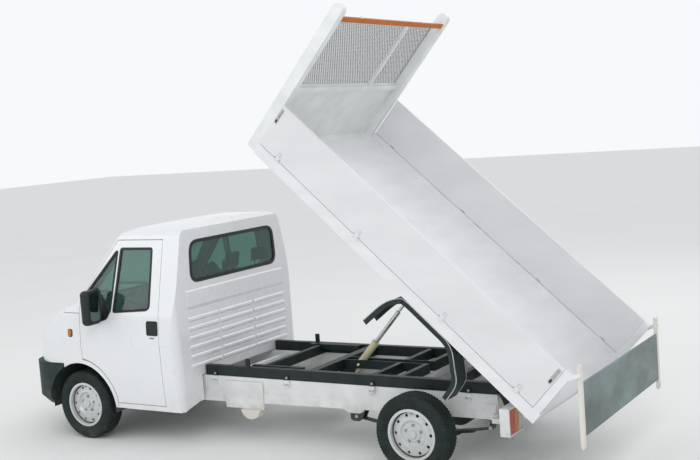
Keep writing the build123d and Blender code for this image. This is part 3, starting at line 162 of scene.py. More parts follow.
class Shader:
    """A Principled material with a few helpers for its texture nodes."""

    def __init__(self, name, color, roughness, **sockets):
        self.material = bpy.data.materials.new(name)
        self.material.use_nodes = True
        self.tree = self.material.node_tree
        self.bsdf = self.tree.nodes["Principled BSDF"]
        self.bsdf.inputs["Base Color"].default_value = (*color, 1)
        self.bsdf.inputs["Roughness"].default_value = roughness
        for socket, value in sockets.items():
            self.bsdf.inputs[socket.replace("_", " ")].default_value = value
        self.color = color
        self.roughness = roughness
        self.coords = self.tree.nodes.new("ShaderNodeTexCoord").outputs["Object"]

    def node(self, kind, **settings):
        """A new node, with its settings and the values of its sockets."""
        made = self.tree.nodes.new("ShaderNode" + kind)
        for key, value in settings.items():
            if hasattr(made, key):
                setattr(made, key, value)
            else:
                made.inputs[key.replace("_", " ")].default_value = value
        return made

    def link(self, output, target):
        """Joins an output to a socket."""
        self.tree.links.new(output, target)

    def noise(self, scale, detail=3.0, stretch=(1, 1, 1)):
        """Noise over the object, finer along an axis whose stretch is larger."""
        mapping = self.node("Mapping")
        mapping.inputs["Scale"].default_value = stretch
        self.link(self.coords, mapping.inputs["Vector"])
        made = self.node("TexNoise", Scale=scale, Detail=detail)
        self.link(mapping.outputs["Vector"], made.inputs["Vector"])
        return made.outputs["Fac"]

    def shift(self, value, low, high, dark, light):
        """A ramp of the noise value between two colours."""
        ramp = self.node("ValToRGB")
        ramp.color_ramp.elements[0].position = low
        ramp.color_ramp.elements[1].position = high
        ramp.color_ramp.elements[0].color = (*dark, 1)
        ramp.color_ramp.elements[1].color = (*light, 1)
        self.link(value, ramp.inputs["Fac"])
        return ramp.outputs["Color"]

    def vary_color(self, scale, amount, stretch=(1, 1, 1)):
        """Lighter and darker patches of the same colour."""
        dark = [c * (1 - amount) for c in self.color]
        light = [min(1.0, c * (1 + amount * 0.6)) for c in self.color]
        self.link(self.shift(self.noise(scale, 4, stretch), 0.35, 0.7, dark, light),
                  self.bsdf.inputs["Base Color"])
        return self

    def vary_roughness(self, scale, amount, stretch=(1, 1, 1)):
        """Duller and glossier patches."""
        spread = self.node("MapRange", To_Min=max(0.02, self.roughness - amount),
                           To_Max=min(1.0, self.roughness + amount))
        self.link(self.noise(scale, 5, stretch), spread.inputs["Value"])
        self.link(spread.outputs["Result"], self.bsdf.inputs["Roughness"])
        return self

    def bump(self, scale, strength, distance, stretch=(1, 1, 1)):
        """Fine unevenness that only the light shows."""
        made = self.node("Bump", Strength=strength, Distance=distance)
        self.link(self.noise(scale, 4, stretch), made.inputs["Height"])
        self.link(made.outputs["Normal"], self.bsdf.inputs["Normal"])
        return self

    def lay_over(self, share, color):
        """Another colour over a share of the patches that vary_color made."""
        base = self.bsdf.inputs["Base Color"]
        mix = self.node("Mix", data_type="RGBA")
        mix.inputs[MIX_B].default_value = (*color, 1)
        self.link(base.links[0].from_socket, mix.inputs[MIX_A])
        self.link(share, mix.inputs[MIX_FACTOR])
        self.link(mix.outputs[MIX_RESULT], base)

    def beyond(self, limit, color, metallic):
        """Another colour and metal share where y is further out than a limit."""
        place = self.node("SeparateXYZ")
        self.link(self.coords, place.inputs[0])
        out = self.node("Math", operation="ABSOLUTE")
        self.link(place.outputs["Y"], out.inputs[0])
        mask = self.node("Math", operation="GREATER_THAN")
        mask.inputs[1].default_value = limit
        self.link(out.outputs[0], mask.inputs[0])
        self.lay_over(mask.outputs[0], color)
        metal = self.node("MapRange", To_Min=self.bsdf.inputs["Metallic"].default_value, To_Max=metallic)
        self.link(mask.outputs[0], metal.inputs["Value"])
        self.link(metal.outputs["Result"], self.bsdf.inputs["Metallic"])
        return self

    def grime(self, low, high, tint, strength=0.5):
        """Dirt that fades out upwards between two heights."""
        height = self.node("SeparateXYZ")
        self.link(self.coords, height.inputs[0])
        fade = self.node("MapRange", From_Min=low, From_Max=high, To_Min=strength, To_Max=0.0)
        self.link(height.outputs["Z"], fade.inputs["Value"])
        spots = self.node("MapRange", From_Min=0.35, From_Max=0.75)
        self.link(self.noise(9.0, 6), spots.inputs["Value"])
        share = self.node("Math", operation="MULTIPLY")
        self.link(fade.outputs["Result"], share.inputs[0])
        self.link(spots.outputs["Result"], share.inputs[1])
        self.lay_over(share.outputs[0], tint)
        return self


DUST = (0.34, 0.31, 0.26)
CREAM = (0.72, 0.70, 0.64)
TAILBOARD_POST_Y = 0.9372
cab_paint = Shader("cab_paint", (0.80, 0.81, 0.83), 0.28, Coat_Weight=0.5, Coat_Roughness=0.08)
cab_paint.vary_color(1.3, 0.02).vary_roughness(2.5, 0.04).grime(0.3, 0.6, DUST, 0.22)
bed_paint = Shader("bed_paint", (0.80, 0.80, 0.82), 0.42, Specular_IOR_Level=0.4)
bed_paint.vary_color(2.2, 0.05, (1, 1, 4)).vary_roughness(8.0, 0.08).bump(220.0, 0.04, 0.0004)
# The drop sides get a darker copy of the bed's white paint: painted shade, for the shade that falls on the
# sides
shaded_side_paint = Shader("shaded_side_paint", (0.75, 0.75, 0.765), 0.42, Specular_IOR_Level=0.4)
shaded_side_paint.vary_color(1.6, 0.04, (1, 1, 3)).vary_roughness(8.0, 0.08).bump(220.0, 0.04, 0.0004)
frame_paint = Shader("frame_paint", (0.74, 0.75, 0.75), 0.4, Specular_IOR_Level=0.45)
frame_paint.vary_color(5.0, 0.07).vary_roughness(11.0, 0.1).grime(0.3, 0.62, DUST, 0.7)
black_paint = Shader("black_paint", (0.010, 0.020, 0.018), 0.5, Specular_IOR_Level=0.35)
black_paint.vary_color(7.0, 0.3).vary_roughness(13.0, 0.12).bump(160.0, 0.08, 0.0004)
wheel_paint = Shader("wheel_paint", (0.62, 0.64, 0.64), 0.36, Metallic=0.25, Coat_Weight=0.2)
wheel_paint.vary_color(9.0, 0.08).vary_roughness(20.0, 0.1).grime(0.12, 0.5, DUST, 0.5)
rubber = Shader("rubber", (0.013, 0.024, 0.021), 0.72, Specular_IOR_Level=0.3)
rubber.vary_color(16.0, 0.35).bump(90.0, 0.15, 0.0006).grime(0.0, 0.16, DUST, 0.3)
# Black rubber of the seals; the same black also paints shade in the wheels' grooves, behind their vents and
# in the latch slots
black_rubber_and_shade = Shader("black_rubber_and_shade", (0.008, 0.012, 0.011), 0.55)
black_rubber_and_shade.vary_color(30.0, 0.2).vary_roughness(40.0, 0.1)
bumper_plastic = Shader("bumper_plastic", (0.016, 0.032, 0.028), 0.62, Specular_IOR_Level=0.35)
bumper_plastic.vary_color(12.0, 0.2).bump(650.0, 0.25, 0.0004).grime(0.3, 0.6, DUST, 0.3)
mirror_plastic = Shader("mirror_plastic", (0.010, 0.017, 0.016), 0.5, Specular_IOR_Level=0.4)
mirror_plastic.vary_color(9.0, 0.2).bump(700.0, 0.2, 0.0003)
glass = Shader("window_glass", (0.25, 0.46, 0.40), 0.03, IOR=1.45, Transmission_Weight=0.92)
glass.vary_roughness(3.0, 0.01)
tail_alu = Shader("tail_aluminium", (0.165, 0.235, 0.225), 0.30, Metallic=0.85)
tail_alu.vary_color(1.9, 0.45, (1, 1, 2)).vary_roughness(16.0, 0.08, (1, 1, 10))
tail_alu.beyond(TAILBOARD_POST_Y, CREAM, 0.05)
tail_cream = Shader("tail_cream", CREAM, 0.45, Metallic=0.05)
tail_cream.vary_color(9.0, 0.1).vary_roughness(20.0, 0.1)
post_alu = Shader("post_aluminium", (0.80, 0.82, 0.81), 0.42, Metallic=0.04)
post_alu.vary_color(5.0, 0.08).vary_roughness(24.0, 0.1)
mesh_steel = Shader("mesh_steel", (0.12, 0.13, 0.13), 0.55, Metallic=0.2)
mesh_steel.vary_color(60.0, 0.2).vary_roughness(50.0, 0.12)
ram_cream = Shader("ram_cream", (0.68, 0.64, 0.43), 0.4)
ram_cream.vary_color(12.0, 0.14).vary_roughness(20.0, 0.1)
ram_chrome = Shader("ram_chrome", (0.62, 0.66, 0.62), 0.16, Metallic=0.95)
ram_chrome.vary_color(18.0, 0.08).vary_roughness(22.0, 0.06)
orange_paint = Shader("orange_paint", (0.56, 0.155, 0.022), 0.55, Specular_IOR_Level=0.3)
orange_paint.vary_color(11.0, 0.2, (1, 6, 1)).vary_roughness(22.0, 0.12)
cast_metal = Shader("cast_metal", (0.035, 0.04, 0.04), 0.62, Metallic=0.3)
cast_metal.vary_color(14.0, 0.4).bump(120.0, 0.3, 0.001)
spring_steel = Shader("spring_steel", (0.06, 0.065, 0.065), 0.5, Metallic=0.5)
spring_steel.vary_color(10.0, 0.4, (4, 1, 1)).vary_roughness(30.0, 0.15)
rust_steel = Shader("exhaust_steel", (0.20, 0.17, 0.15), 0.55, Metallic=0.6)
rust_steel.vary_color(9.0, 0.4).bump(60.0, 0.15, 0.0006)
cabin_plastic = Shader("cabin_plastic", (0.035, 0.038, 0.042), 0.6)
cabin_plastic.vary_color(10.0, 0.15).bump(500.0, 0.2, 0.0004)
red_lens = Shader("red_lens", (0.44, 0.045, 0.010), 0.3)
red_lens.vary_color(60.0, 0.25).vary_roughness(30.0, 0.04)
amber_lens = Shader("amber_lens", (0.56, 0.17, 0.015), 0.3)
amber_lens.vary_color(60.0, 0.2).vary_roughness(30.0, 0.04)
clear_lens = Shader("clear_lens", (0.74, 0.80, 0.80), 0.06, Transmission_Weight=0.5, IOR=1.45)
clear_lens.vary_roughness(25.0, 0.03)
bolt_steel = Shader("bolt_steel", (0.32, 0.33, 0.33), 0.4, Metallic=0.8)
bolt_steel.vary_color(40.0, 0.25).vary_roughness(60.0, 0.1)
white_steel = Shader("white_steel", (0.76, 0.76, 0.74), 0.42)
white_steel.vary_color(20.0, 0.08).vary_roughness(30.0, 0.1)
# Zinc plating; the same pale metal also paints the highlights on the mudguards' edges
zinc_and_highlight = Shader("zinc_and_highlight", (0.50, 0.52, 0.52), 0.42, Metallic=0.7)
zinc_and_highlight.vary_color(40.0, 0.2).vary_roughness(50.0, 0.12)
# The mirror glass is given a dim, dark reflectance: painted reflection of the dark surroundings that the
# glass shows
dark_reflection_mirror = Shader("dark_reflection_mirror", (0.12, 0.17, 0.17), 0.08, Metallic=1.0)
dark_reflection_mirror.vary_roughness(5.0, 0.01)
seat_cloth = Shader("seat_cloth", (0.055, 0.062, 0.075), 0.92, Sheen_Weight=0.35, Sheen_Roughness=0.5)
seat_cloth.vary_color(260.0, 0.45).bump(900.0, 0.35, 0.0006)
tank_white = Shader("tank_white", (0.72, 0.70, 0.62), 0.45)
tank_white.vary_color(9.0, 0.1).vary_roughness(18.0, 0.1).grime(0.25, 0.5, DUST, 0.4)
floor_grey = Shader("floor_grey", (0.84, 0.84, 0.83), 0.8)
floor_grey.vary_color(0.8, 0.012).vary_roughness(3.0, 0.05)


CAD_PAINT = {
    "chassis_frame": frame_paint, "tipper_subframe": black_paint, "cab_shell": cab_paint,
    "front_wings": cab_paint, "bonnet": cab_paint, "front_bumper": bumper_plastic,
    "headlamps": clear_lens, "cab_glass": glass, "dashboard": cabin_plastic,
    "seats": cabin_plastic, "engine_block": cast_metal, "fuel_tank": bumper_plastic,
    "exhaust": rust_steel, "hydraulic_tank": tank_white, "front_suspension": cast_metal,
    "rear_axle": cast_metal, "leaf_springs": spring_steel, "tail_lamps": frame_paint,
    "ram_barrel": ram_cream, "ram_stage_1": ram_chrome, "ram_stage_2": ram_chrome,
    "bed_floor": bed_paint, "headboard_frame": post_alu, "headboard_mesh": mesh_steel,
    "headboard_bar": orange_paint, "rear_mudguards": bumper_plastic, "tailboard": tail_alu,
}
for side, _ in SIDES:
    CAD_PAINT[f"door_{side}"] = cab_paint
    CAD_PAINT[f"door_glass_{side}"] = glass
    CAD_PAINT[f"mirror_{side}"] = mirror_plastic
    CAD_PAINT[f"knuckle_{side}"] = cast_metal
    CAD_PAINT[f"dropside_{side}"] = shaded_side_paint
    for end in ("front", "rear"):
        CAD_PAINT[f"rim_{end}_{side}"] = wheel_paint
        CAD_PAINT[f"tyre_{end}_{side}"] = rubber
for node, shader in CAD_PAINT.items():
    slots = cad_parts[node].data.materials
    slots.clear()
    slots.append(shader.material)


def finish_mesh(name, bm, shader, body, bevel=0.0, smooth_angle=35.0):
    """Turns a bmesh into a piece that rides on a body."""
    bmesh.ops.recalc_face_normals(bm, faces=bm.faces)
    mesh = bpy.data.meshes.new(name)
    bm.to_mesh(mesh)
    bm.free()
    obj = bpy.data.objects.new(name, mesh)
    bpy.context.scene.collection.objects.link(obj)
    mesh.materials.append(shader.material)
    if bevel > 0:
        modifier = obj.modifiers.new("bevel", "BEVEL")
        modifier.width = bevel
        modifier.segments = 2
        modifier.limit_method = "ANGLE"
    for polygon in mesh.polygons:
        polygon.use_smooth = True
    mesh.set_sharp_from_angle(angle=math.radians(smooth_angle))
    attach(obj, body)
    return obj


def join_loops(bm, low, high):
    """Quads between two closed loops of vertices."""
    count = len(low)
    for i in range(count):
        j = (i + 1) % count
        bm.faces.new((low[i], low[j], high[j], high[i]))


def bridge(bm, loops):
    """Quads between each closed loop of vertices and the next, back to the first."""
    for low, high in zip(loops, loops[1:] + loops[:1]):
        join_loops(bm, low, high)


def close_sweep(bm, loops):
    """Quads between each closed loop of vertices and the next, and a face over both ends."""
    for low, high in zip(loops, loops[1:]):
        join_loops(bm, low, high)
    bm.faces.new(loops[0])
    bm.faces.new(loops[-1][::-1])


def add_lathe(bm, profile, place, segments=48, close=False):
    """(radius, height) pairs turned about the local z axis."""
    rings = []
    for radius, height in profile:
        ring = []
        for i in range(segments):
            angle = 2 * math.pi * i / segments
            corner = Vector((radius * math.cos(angle), radius * math.sin(angle), height))
            ring.append(bm.verts.new(place @ corner))
        rings.append(ring)
    if close:
        bridge(bm, rings)
        return
    for low, high in zip(rings, rings[1:]):
        join_loops(bm, low, high)
    for ring in (rings[0], rings[-1]):
        bm.faces.new(ring)


def add_rod(bm, start, end, radius, segments=16):
    """A round bar between two points."""
    start, end = Vector(start), Vector(end)
    along = end - start
    place = Matrix.Translation(start) @ along.to_track_quat("Z", "Y").to_matrix().to_4x4()
    add_lathe(bm, ((radius, 0.0), (radius, along.length)), place, segments)


def facing(origin, x_axis, normal):
    """A matrix whose local x and z follow the given directions."""
    z = Vector(normal).normalized()
    x = Vector(x_axis).normalized()
    y = z.cross(x)
    turn = Matrix((x, y, z)).transposed().to_4x4()
    return Matrix.Translation(Vector(origin)) @ turn


def rounded(width, height, radius, corner=5):
    """The outline of a rectangle with round corners, about its middle."""
    points = []
    for quarter in range(4):
        cx = (width / 2 - radius) * (1, -1, -1, 1)[quarter]
        cy = (height / 2 - radius) * (1, 1, -1, -1)[quarter]
        for i in range(corner + 1):
            angle = math.pi / 2 * (quarter + i / corner)
            points.append((cx + radius * math.cos(angle), cy + radius * math.sin(angle)))
    return points


# The tyre in metres, with its sidewall and tread as (half width, radius)
TREAD_ROWS = 72
TREAD_RADIUS, GROOVE_RADIUS, SIPE_DEPTH = 0.3415, 0.3335, 0.0055
RIB_EDGE, SHOULDER_EDGE = 0.058, 0.095
RIB_FLOOR, SHOULDER_FLOOR = 0.34, 0.32
SIPE_EVERY = 3
SIDEWALL = ((0.0775, 0.2040), (0.0790, 0.2220), (0.0900, 0.2290), (0.0975, 0.2450), (0.1018, 0.2660),
            (0.1022, 0.2850), (0.0990, 0.3050), (0.0965, 0.3110), (0.0960, 0.3150), (0.0925, 0.3250),
            (0.0860, 0.3335), (0.0780, 0.3385))
TREAD = ((0.060, TREAD_RADIUS), (0.046, TREAD_RADIUS), (0.043, GROOVE_RADIUS), (0.035, GROOVE_RADIUS),
         (0.032, TREAD_RADIUS), (0.014, TREAD_RADIUS), (0.011, GROOVE_RADIUS), (0.003, GROOVE_RADIUS))


def make_tyre(end, side, sign, axle_x):
    """A tyre with grooves, shoulder blocks and a raised rim guard, from half widths and radii."""
    bm = bmesh.new()
    profile = SIDEWALL + TREAD
    profile += tuple((-w, r) for w, r in reversed(profile))
    rings = []
    steps = TREAD_ROWS * SIPE_EVERY
    for i in range(steps):
        angle = 2 * math.pi * i / steps
        row, place_in_row = divmod(i, SIPE_EVERY)
        ring = []
        for w, r in profile:
            on_shoulder = RIB_EDGE < abs(w) < SHOULDER_EDGE and r > SHOULDER_FLOOR
            on_rib = abs(w) < RIB_EDGE and r > RIB_FLOOR
            cut = place_in_row == 0 and (on_shoulder or on_rib and row % 2 == 0)
            radius = r - (SIPE_DEPTH if cut else 0.0)
            ring.append(bm.verts.new((axle_x + radius * math.sin(angle), sign * TRACK_HALF + w,
                                      HUB_Z + radius * math.cos(angle))))
        rings.append(ring)
    for i in range(steps):
        a, b = rings[i], rings[(i + 1) % steps]
        for j in range(len(profile) - 1):
            bm.faces.new((a[j], a[j + 1], b[j + 1], b[j]))
        bm.faces.new((a[-1], a[0], b[0], b[-1]))
    tyre = finish_mesh(f"tyre_{end}_{side}_tread", bm, rubber, f"wheel_{end}_{side}", smooth_angle=28)
    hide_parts(f"tyre_{end}_{side}")


# The wheel in metres, with its turned parts as (radius, height)
WHEEL_BOLTS = 5
BOLT_CIRCLE, FIRST_BOLT = 0.074, 0.25
VALVE_FOOT, VALVE_TIP, VALVE_RADIUS = Vector((0.0, 0.178, 0.002)), Vector((0.0, 0.172, 0.030)), 0.004
WHEEL_DISC = 0.040
BOLT_HEAD = ((0.0105, -0.001), (0.0105, 0.010), (0.0085, 0.012), (0.003, 0.0125))
BOLT_SEAT = ((0.0185, -0.001), (0.0180, 0.003), (0.0160, 0.0045), (0.0135, 0.003), (0.0125, -0.001))
HUB_CAP = ((0.034, 0.012), (0.0335, 0.0295), (0.031, 0.0325), (0.012, 0.034))
# A black ring of painted shade at the floor of the rim's groove, and the brake drum, a real part made black
# as painted shade behind the vents
GROOVE_SHADE_RING = ((0.1965, 0.0485), (0.1965, 0.0500), (0.1860, 0.0495), (0.1860, 0.0485))
BRAKE_DRUM_SHADE = ((0.1900, 0.0300), (0.1900, 0.0260), (0.1370, 0.0240), (0.1370, 0.0280))


def make_wheel_trim(end, side, sign, axle_x):
    """Wheel bolts in their seats, the hub cap, the valve, and black painted shade: a ring in the rim's
    groove and the brake drum, a real part made black for the shade behind the vents.
    """
    outwards = Matrix.Rotation(math.radians(-90 * sign), 4, "X")
    centre = Matrix.Translation((axle_x, sign * TRACK_HALF, HUB_Z)) @ outwards
    disc = centre @ Matrix.Translation((0, 0, WHEEL_DISC))
    bolts = [centre @ Matrix.Rotation(2 * math.pi * (i + FIRST_BOLT) / WHEEL_BOLTS, 4, "Z")
             @ Matrix.Translation((BOLT_CIRCLE, 0, WHEEL_DISC)) for i in range(WHEEL_BOLTS)]
    body = f"wheel_{end}_{side}"
    bm = bmesh.new()
    for bolt in bolts:
        add_lathe(bm, BOLT_HEAD, bolt, 6)
    add_rod(bm, disc @ VALVE_FOOT, disc @ VALVE_TIP, VALVE_RADIUS, 10)
    finish_mesh(f"wheel_bolts_{end}_{side}", bm, bolt_steel, body, 0.0008)
    bm = bmesh.new()
    for bolt in bolts:
        add_lathe(bm, BOLT_SEAT, bolt, 28, close=True)
    add_lathe(bm, HUB_CAP, disc, 32)
    finish_mesh(f"wheel_hub_{end}_{side}", bm, wheel_paint, body, 0.0006)
    bm = bmesh.new()
    add_lathe(bm, GROOVE_SHADE_RING, centre, 72, close=True)
    add_lathe(bm, BRAKE_DRUM_SHADE, centre, 48, close=True)
    finish_mesh(f"wheel_painted_shade_{end}_{side}", bm, black_rubber_and_shade, body)


def rounded_corner(before, corner, after, radius, reach, steps):
    """Points round a corner, from at most a share (reach) of one edge to that of the next."""
    here = Vector(corner)
    back = Vector(before) - here
    on = Vector(after) - here
    start = here + back.normalized() * min(radius, back.length * reach)
    end = here + on.normalized() * min(radius, on.length * reach)
    shares = [k / steps for k in range(steps + 1)]
    return [(1 - share) ** 2 * start + 2 * share * (1 - share) * here + share ** 2 * end for share in shares]


def rounded_outline(points, radius, steps=5):
    """A polygon with its corners rounded."""
    result = []
    for i, corner in enumerate(points):
        result += rounded_corner(points[i - 1], corner, points[(i + 1) % len(points)], radius, 0.45, steps)
    return result


SHARPEST_MITRE = 0.5


def grown(outline, distance):
    """A closed outline moved outwards."""
    count = len(outline)
    turn = sum(outline[i - 1].cross(outline[i]) for i in range(count))
    side = 1 if turn > 0 else -1
    result = []
    for i in range(count):
        before = (outline[i] - outline[i - 1]).normalized()
        after = (outline[(i + 1) % count] - outline[i]).normalized()
        along = (before + after).normalized()
        share = max(SHARPEST_MITRE, along.dot(before))
        result.append(outline[i] + Vector((along.y, -along.x)) * (side * distance / share))
    return result


def add_ring(bm, outline, grow, width, low, high, place):
    """A strip round an outline on the surface that place(u, v, out) describes."""
    outer = grown(outline, grow)
    inner = grown(outline, grow - width)
    loops = []
    for line, out in ((outer, low), (outer, high), (inner, high), (inner, low)):
        loops.append([bm.verts.new(place(u, v, out)) for u, v in line])
    bridge(bm, loops)


def add_slab(bm, outline, low, high, place, shrink=0.0):
    """A plate over an outline on the surface that place(u, v, out) describes, with a sloped edge."""
    under = [bm.verts.new(place(u, v, low)) for u, v in outline]
    over = [bm.verts.new(place(u, v, high)) for u, v in grown(outline, -shrink)]
    bm.faces.new(under[::-1])
    bm.faces.new(over)
    join_loops(bm, under, over)


def flat(centre_u, centre_v, width, height, radius):
    """A rounded rectangle about a point, as vectors."""
    return [Vector((centre_u + u, centre_v + v)) for u, v in rounded(width, height, radius)]


# The cab's section as (height, half width), and the windscreen's foot, slope, bow and normal
SIDE_SECTION = ((345, 958), (660, 982), (1000, 988), (1260, 968), (1990, 800))
SCREEN_FOOT_X, SCREEN_FOOT_Z, SCREEN_SLOPE = -130, 1320, 0.8295
SCREEN_BOW = 4276.3
SCREEN_NORMAL = Vector((-0.7697, 0.0, 0.6384))


def skin_y(z):
    """Half width of the cab at a height."""
    for (z1, y1), (z2, y2) in zip(SIDE_SECTION, SIDE_SECTION[1:]):
        if z <= z2:
            return y1 + (y2 - y1) * (z - z1) / (z2 - z1)
    return SIDE_SECTION[-1][1]


def cab_side(sign):
    """The cab's side as place(x, z, out)."""
    return lambda x, z, out: at(x, sign * (skin_y(z) + out), z)


def cab_rear(y, z, out):
    """The cab's back wall."""
    return at(CAB_BACK + out, y, z)


def screen(y, z, out):
    """The curved windscreen."""
    bow = SCREEN_BOW - math.sqrt(SCREEN_BOW ** 2 - y * y)
    x = SCREEN_FOOT_X + bow + (z - SCREEN_FOOT_Z) * SCREEN_SLOPE
    return at(x, y, z) + SCREEN_NORMAL * (out / 1000)


def bed_face(sign, y):
    """The outer face of a drop side as place(s, n, out)."""
    return lambda s, n, out: on_bed(s, sign * (y + out), n)


# The windows' corners: (x, z) on the doors, (y, z) on the back wall and the windscreen
QUARTER_PANE = ((125, 1300), (468, 1290), (518, 1868), (495, 1868), (125, 1460))
DROP_PANE = ((502, 1290), (930, 1318), (962, 1345), (955, 1896), (552, 1896))
REAR_WINDOW = ((-690, 1550), (690, 1550), (667, 1935), (-667, 1935))
WINDSCREEN = ((-880, 1352), (880, 1352), (745, 1968), (-745, 1968))


def divided(points, parts):
    """A polygon with more points along its edges, for a curved surface."""
    result = []
    for i, point in enumerate(points):
        following = points[(i + 1) % len(points)]
        for k in range(parts):
            result.append(Vector(point).lerp(Vector(following), k / parts))
    return result


# Each seal: how far it reaches round its pane, its width, and its depth below and above the skin
SEAL_SINK = -7.8
DOOR_SEAL = (7, 24, SEAL_SINK, 1.6)
REAR_SEAL = (12, 34, SEAL_SINK, 3.0)
SCREEN_SEAL = (10, 44, SEAL_SINK, 1.5)


def make_window_seals():
    """Rubber seals round all windows."""
    for side, sign in SIDES:
        bm = bmesh.new()
        for pane, radius in ((QUARTER_PANE, 14), (DROP_PANE, 26)):
            outline = rounded_outline(pane, radius)
            add_ring(bm, outline, *DOOR_SEAL, cab_side(sign))
        seals = finish_mesh(f"door_seals_{side}", bm, black_rubber_and_shade, f"door_{side}", 0.0012)
    bm = bmesh.new()
    add_ring(bm, rounded_outline(REAR_WINDOW, 110, 8), *REAR_SEAL, cab_rear)
    add_ring(bm, divided(rounded_outline(WINDSCREEN, 110, 6), 3), *SCREEN_SEAL, screen)
    finish_mesh("window_seals", bm, black_rubber_and_shade, "chassis", 0.0012)


# Rounded rectangles on the door, the wing and the mirror: middle, width, height, corner radius
HANDLE_PLATE = (997, 1151, 143, 141, 20)
HANDLE_GRIP = (1003, 1170, 112, 58, 14)
HANDLE_BUTTON = (950, 1110, 26, 26, 12.5)
LOCK_PLATE = (992, 1058, 58, 15, 7)
MIRROR_BEZEL = (1095, 1357, 146, 280, 44)
MIRROR_GLASS = (1095, 1357, 126, 260, 36)
REPEATER_BASE = (-77, 1073, 66, 80, 22)
REPEATER_LENS = (-83, 1073, 48, 68, 18)
MIRROR_SAIL = ((122, 1284), (122, 1462), (262, 1530), (474, 1297), (430, 1222), (330, 1190), (215, 1205))
MIRROR_BACK = 402


def make_door_fittings():
    """Handle, lock, mirror sail, mirror glass and side repeater."""
    for side, sign in SIDES:
        place = cab_side(sign)
        body = f"door_{side}"
        bm = bmesh.new()
        add_slab(bm, flat(*HANDLE_PLATE), -1, 2.5, place, 2)
        add_ring(bm, flat(*HANDLE_PLATE), -3, 9, 2, 6, place)
        add_slab(bm, flat(*HANDLE_GRIP), 2, 8, place, 4)
        add_slab(bm, flat(*HANDLE_BUTTON), 2, 5, place, 2)
        add_slab(bm, rounded_outline(MIRROR_SAIL, 34), -1, 6, place, 5)
        finish_mesh(f"door_fittings_{side}", bm, mirror_plastic, body, 0.0015)
        bm = bmesh.new()
        add_slab(bm, flat(*LOCK_PLATE), -1, 1.6, place, 1)
        finish_mesh(f"door_lock_{side}", bm, bolt_steel, body, 0.0005)

        def head_back(y, z, out):
            """The rear face of the mirror's head."""
            return at(MIRROR_BACK + out, sign * y, z)

        bm = bmesh.new()
        add_ring(bm, flat(*MIRROR_BEZEL), 0, 12, -8, 3, head_back)
        finish_mesh(f"mirror_bezel_{side}", bm, mirror_plastic, body, 0.0015)
        bm = bmesh.new()
        add_slab(bm, flat(*MIRROR_GLASS), -6, 1.8, head_back, 1)
        finish_mesh(f"mirror_glass_{side}", bm, dark_reflection_mirror, body, 0.0005)
        bm = bmesh.new()
        add_slab(bm, flat(*REPEATER_BASE), -1, 2.5, place, 1)
        finish_mesh(f"repeater_base_{side}", bm, black_rubber_and_shade, "chassis", 0.0008)
        bm = bmesh.new()
        add_slab(bm, flat(*REPEATER_LENS), 2, 8, place, 7)
        finish_mesh(f"repeater_lens_{side}", bm, amber_lens, "chassis", 0.0008)


WIPERS = ((520, -120), (-60, -700))
WIPER_PIVOT_Z, WIPER_TIP_Z = 1338, 1430
WIPER_HUB = (46, 46, 22)
ARM_FOOT, ARM_TIP = 9, 5
BLADE_RISE = 16
BLADE = ((-250, -6), (230, -6), (230, 6), (-250, 6))


def make_wipers():
    """Two wipers at rest on the windscreen, each from its pivot's y to its tip's."""
    bm = bmesh.new()
    for pivot, tip in WIPERS:
        start, end = Vector((pivot, WIPER_PIVOT_Z)), Vector((tip, WIPER_TIP_Z))
        arm = (end - start).normalized()
        side = Vector((-arm.y, arm.x))
        foot, top = side * ARM_FOOT, side * ARM_TIP
        outline = [start - foot, end - top, end + top, start + foot]
        add_slab(bm, divided(outline, 8), 6, 13, screen, 1)
        middle = end + Vector((0, BLADE_RISE))
        blade = [middle + arm * along + side * across for along, across in BLADE]
        add_slab(bm, divided(blade, 12), -6.5, 8, screen, 2)
        add_slab(bm, flat(pivot, WIPER_PIVOT_Z, *WIPER_HUB), -4, 18, screen, 5)
    finish_mesh("wipers", bm, mirror_plastic, "chassis", 0.001)


ARCH_STEPS = 48
ARCH_START, ARCH_SWEEP = -6, 192
LINER_SECTION = ((ARCH_RADIUS - 1.2, 549), (ARCH_RADIUS - 1.2, 952), (ARCH_RADIUS - 5, 955),
                 (ARCH_RADIUS - 5, 552))
LINER_BACK = (546, 549.5)


def make_arch_shade_liners():
    """Dark linings of the front wheel arches, black as painted shade inside the arches."""
    for side, sign in SIDES:
        bm = bmesh.new()
        rings = []
        for i in range(ARCH_STEPS + 1):
            angle = math.radians(ARCH_START + ARCH_SWEEP * i / ARCH_STEPS)
            x, z = math.cos(angle), math.sin(angle)
            rings.append([bm.verts.new(at(radius * x, sign * y, WHEEL_Z + radius * z))
                          for radius, y in LINER_SECTION])
        close_sweep(bm, rings)
        half_disc = [Vector((0, WHEEL_Z)) + (ARCH_RADIUS - 4) * Vector((math.cos(a), math.sin(a)))
                     for a in (math.pi * i / 36 for i in range(37))]
        add_slab(bm, half_disc, *LINER_BACK, lambda x, z, out: at(x, sign * out, z))
        liner = finish_mesh(f"arch_shade_liner_{side}", bm, bumper_plastic, "chassis", 0.0, 40)


MESH_S, MESH_HALF, MESH_FOOT, MESH_HEAD = -3059.0, 903.0, 889.5, 1599.0
MESH_ROWS, MESH_COLUMNS = 48, 60
MESH_EDGE = 3
STRAND = ((1.6, -2.5), (1.6, 2.5), (-1.6, 2.5), (-1.6, -2.5))


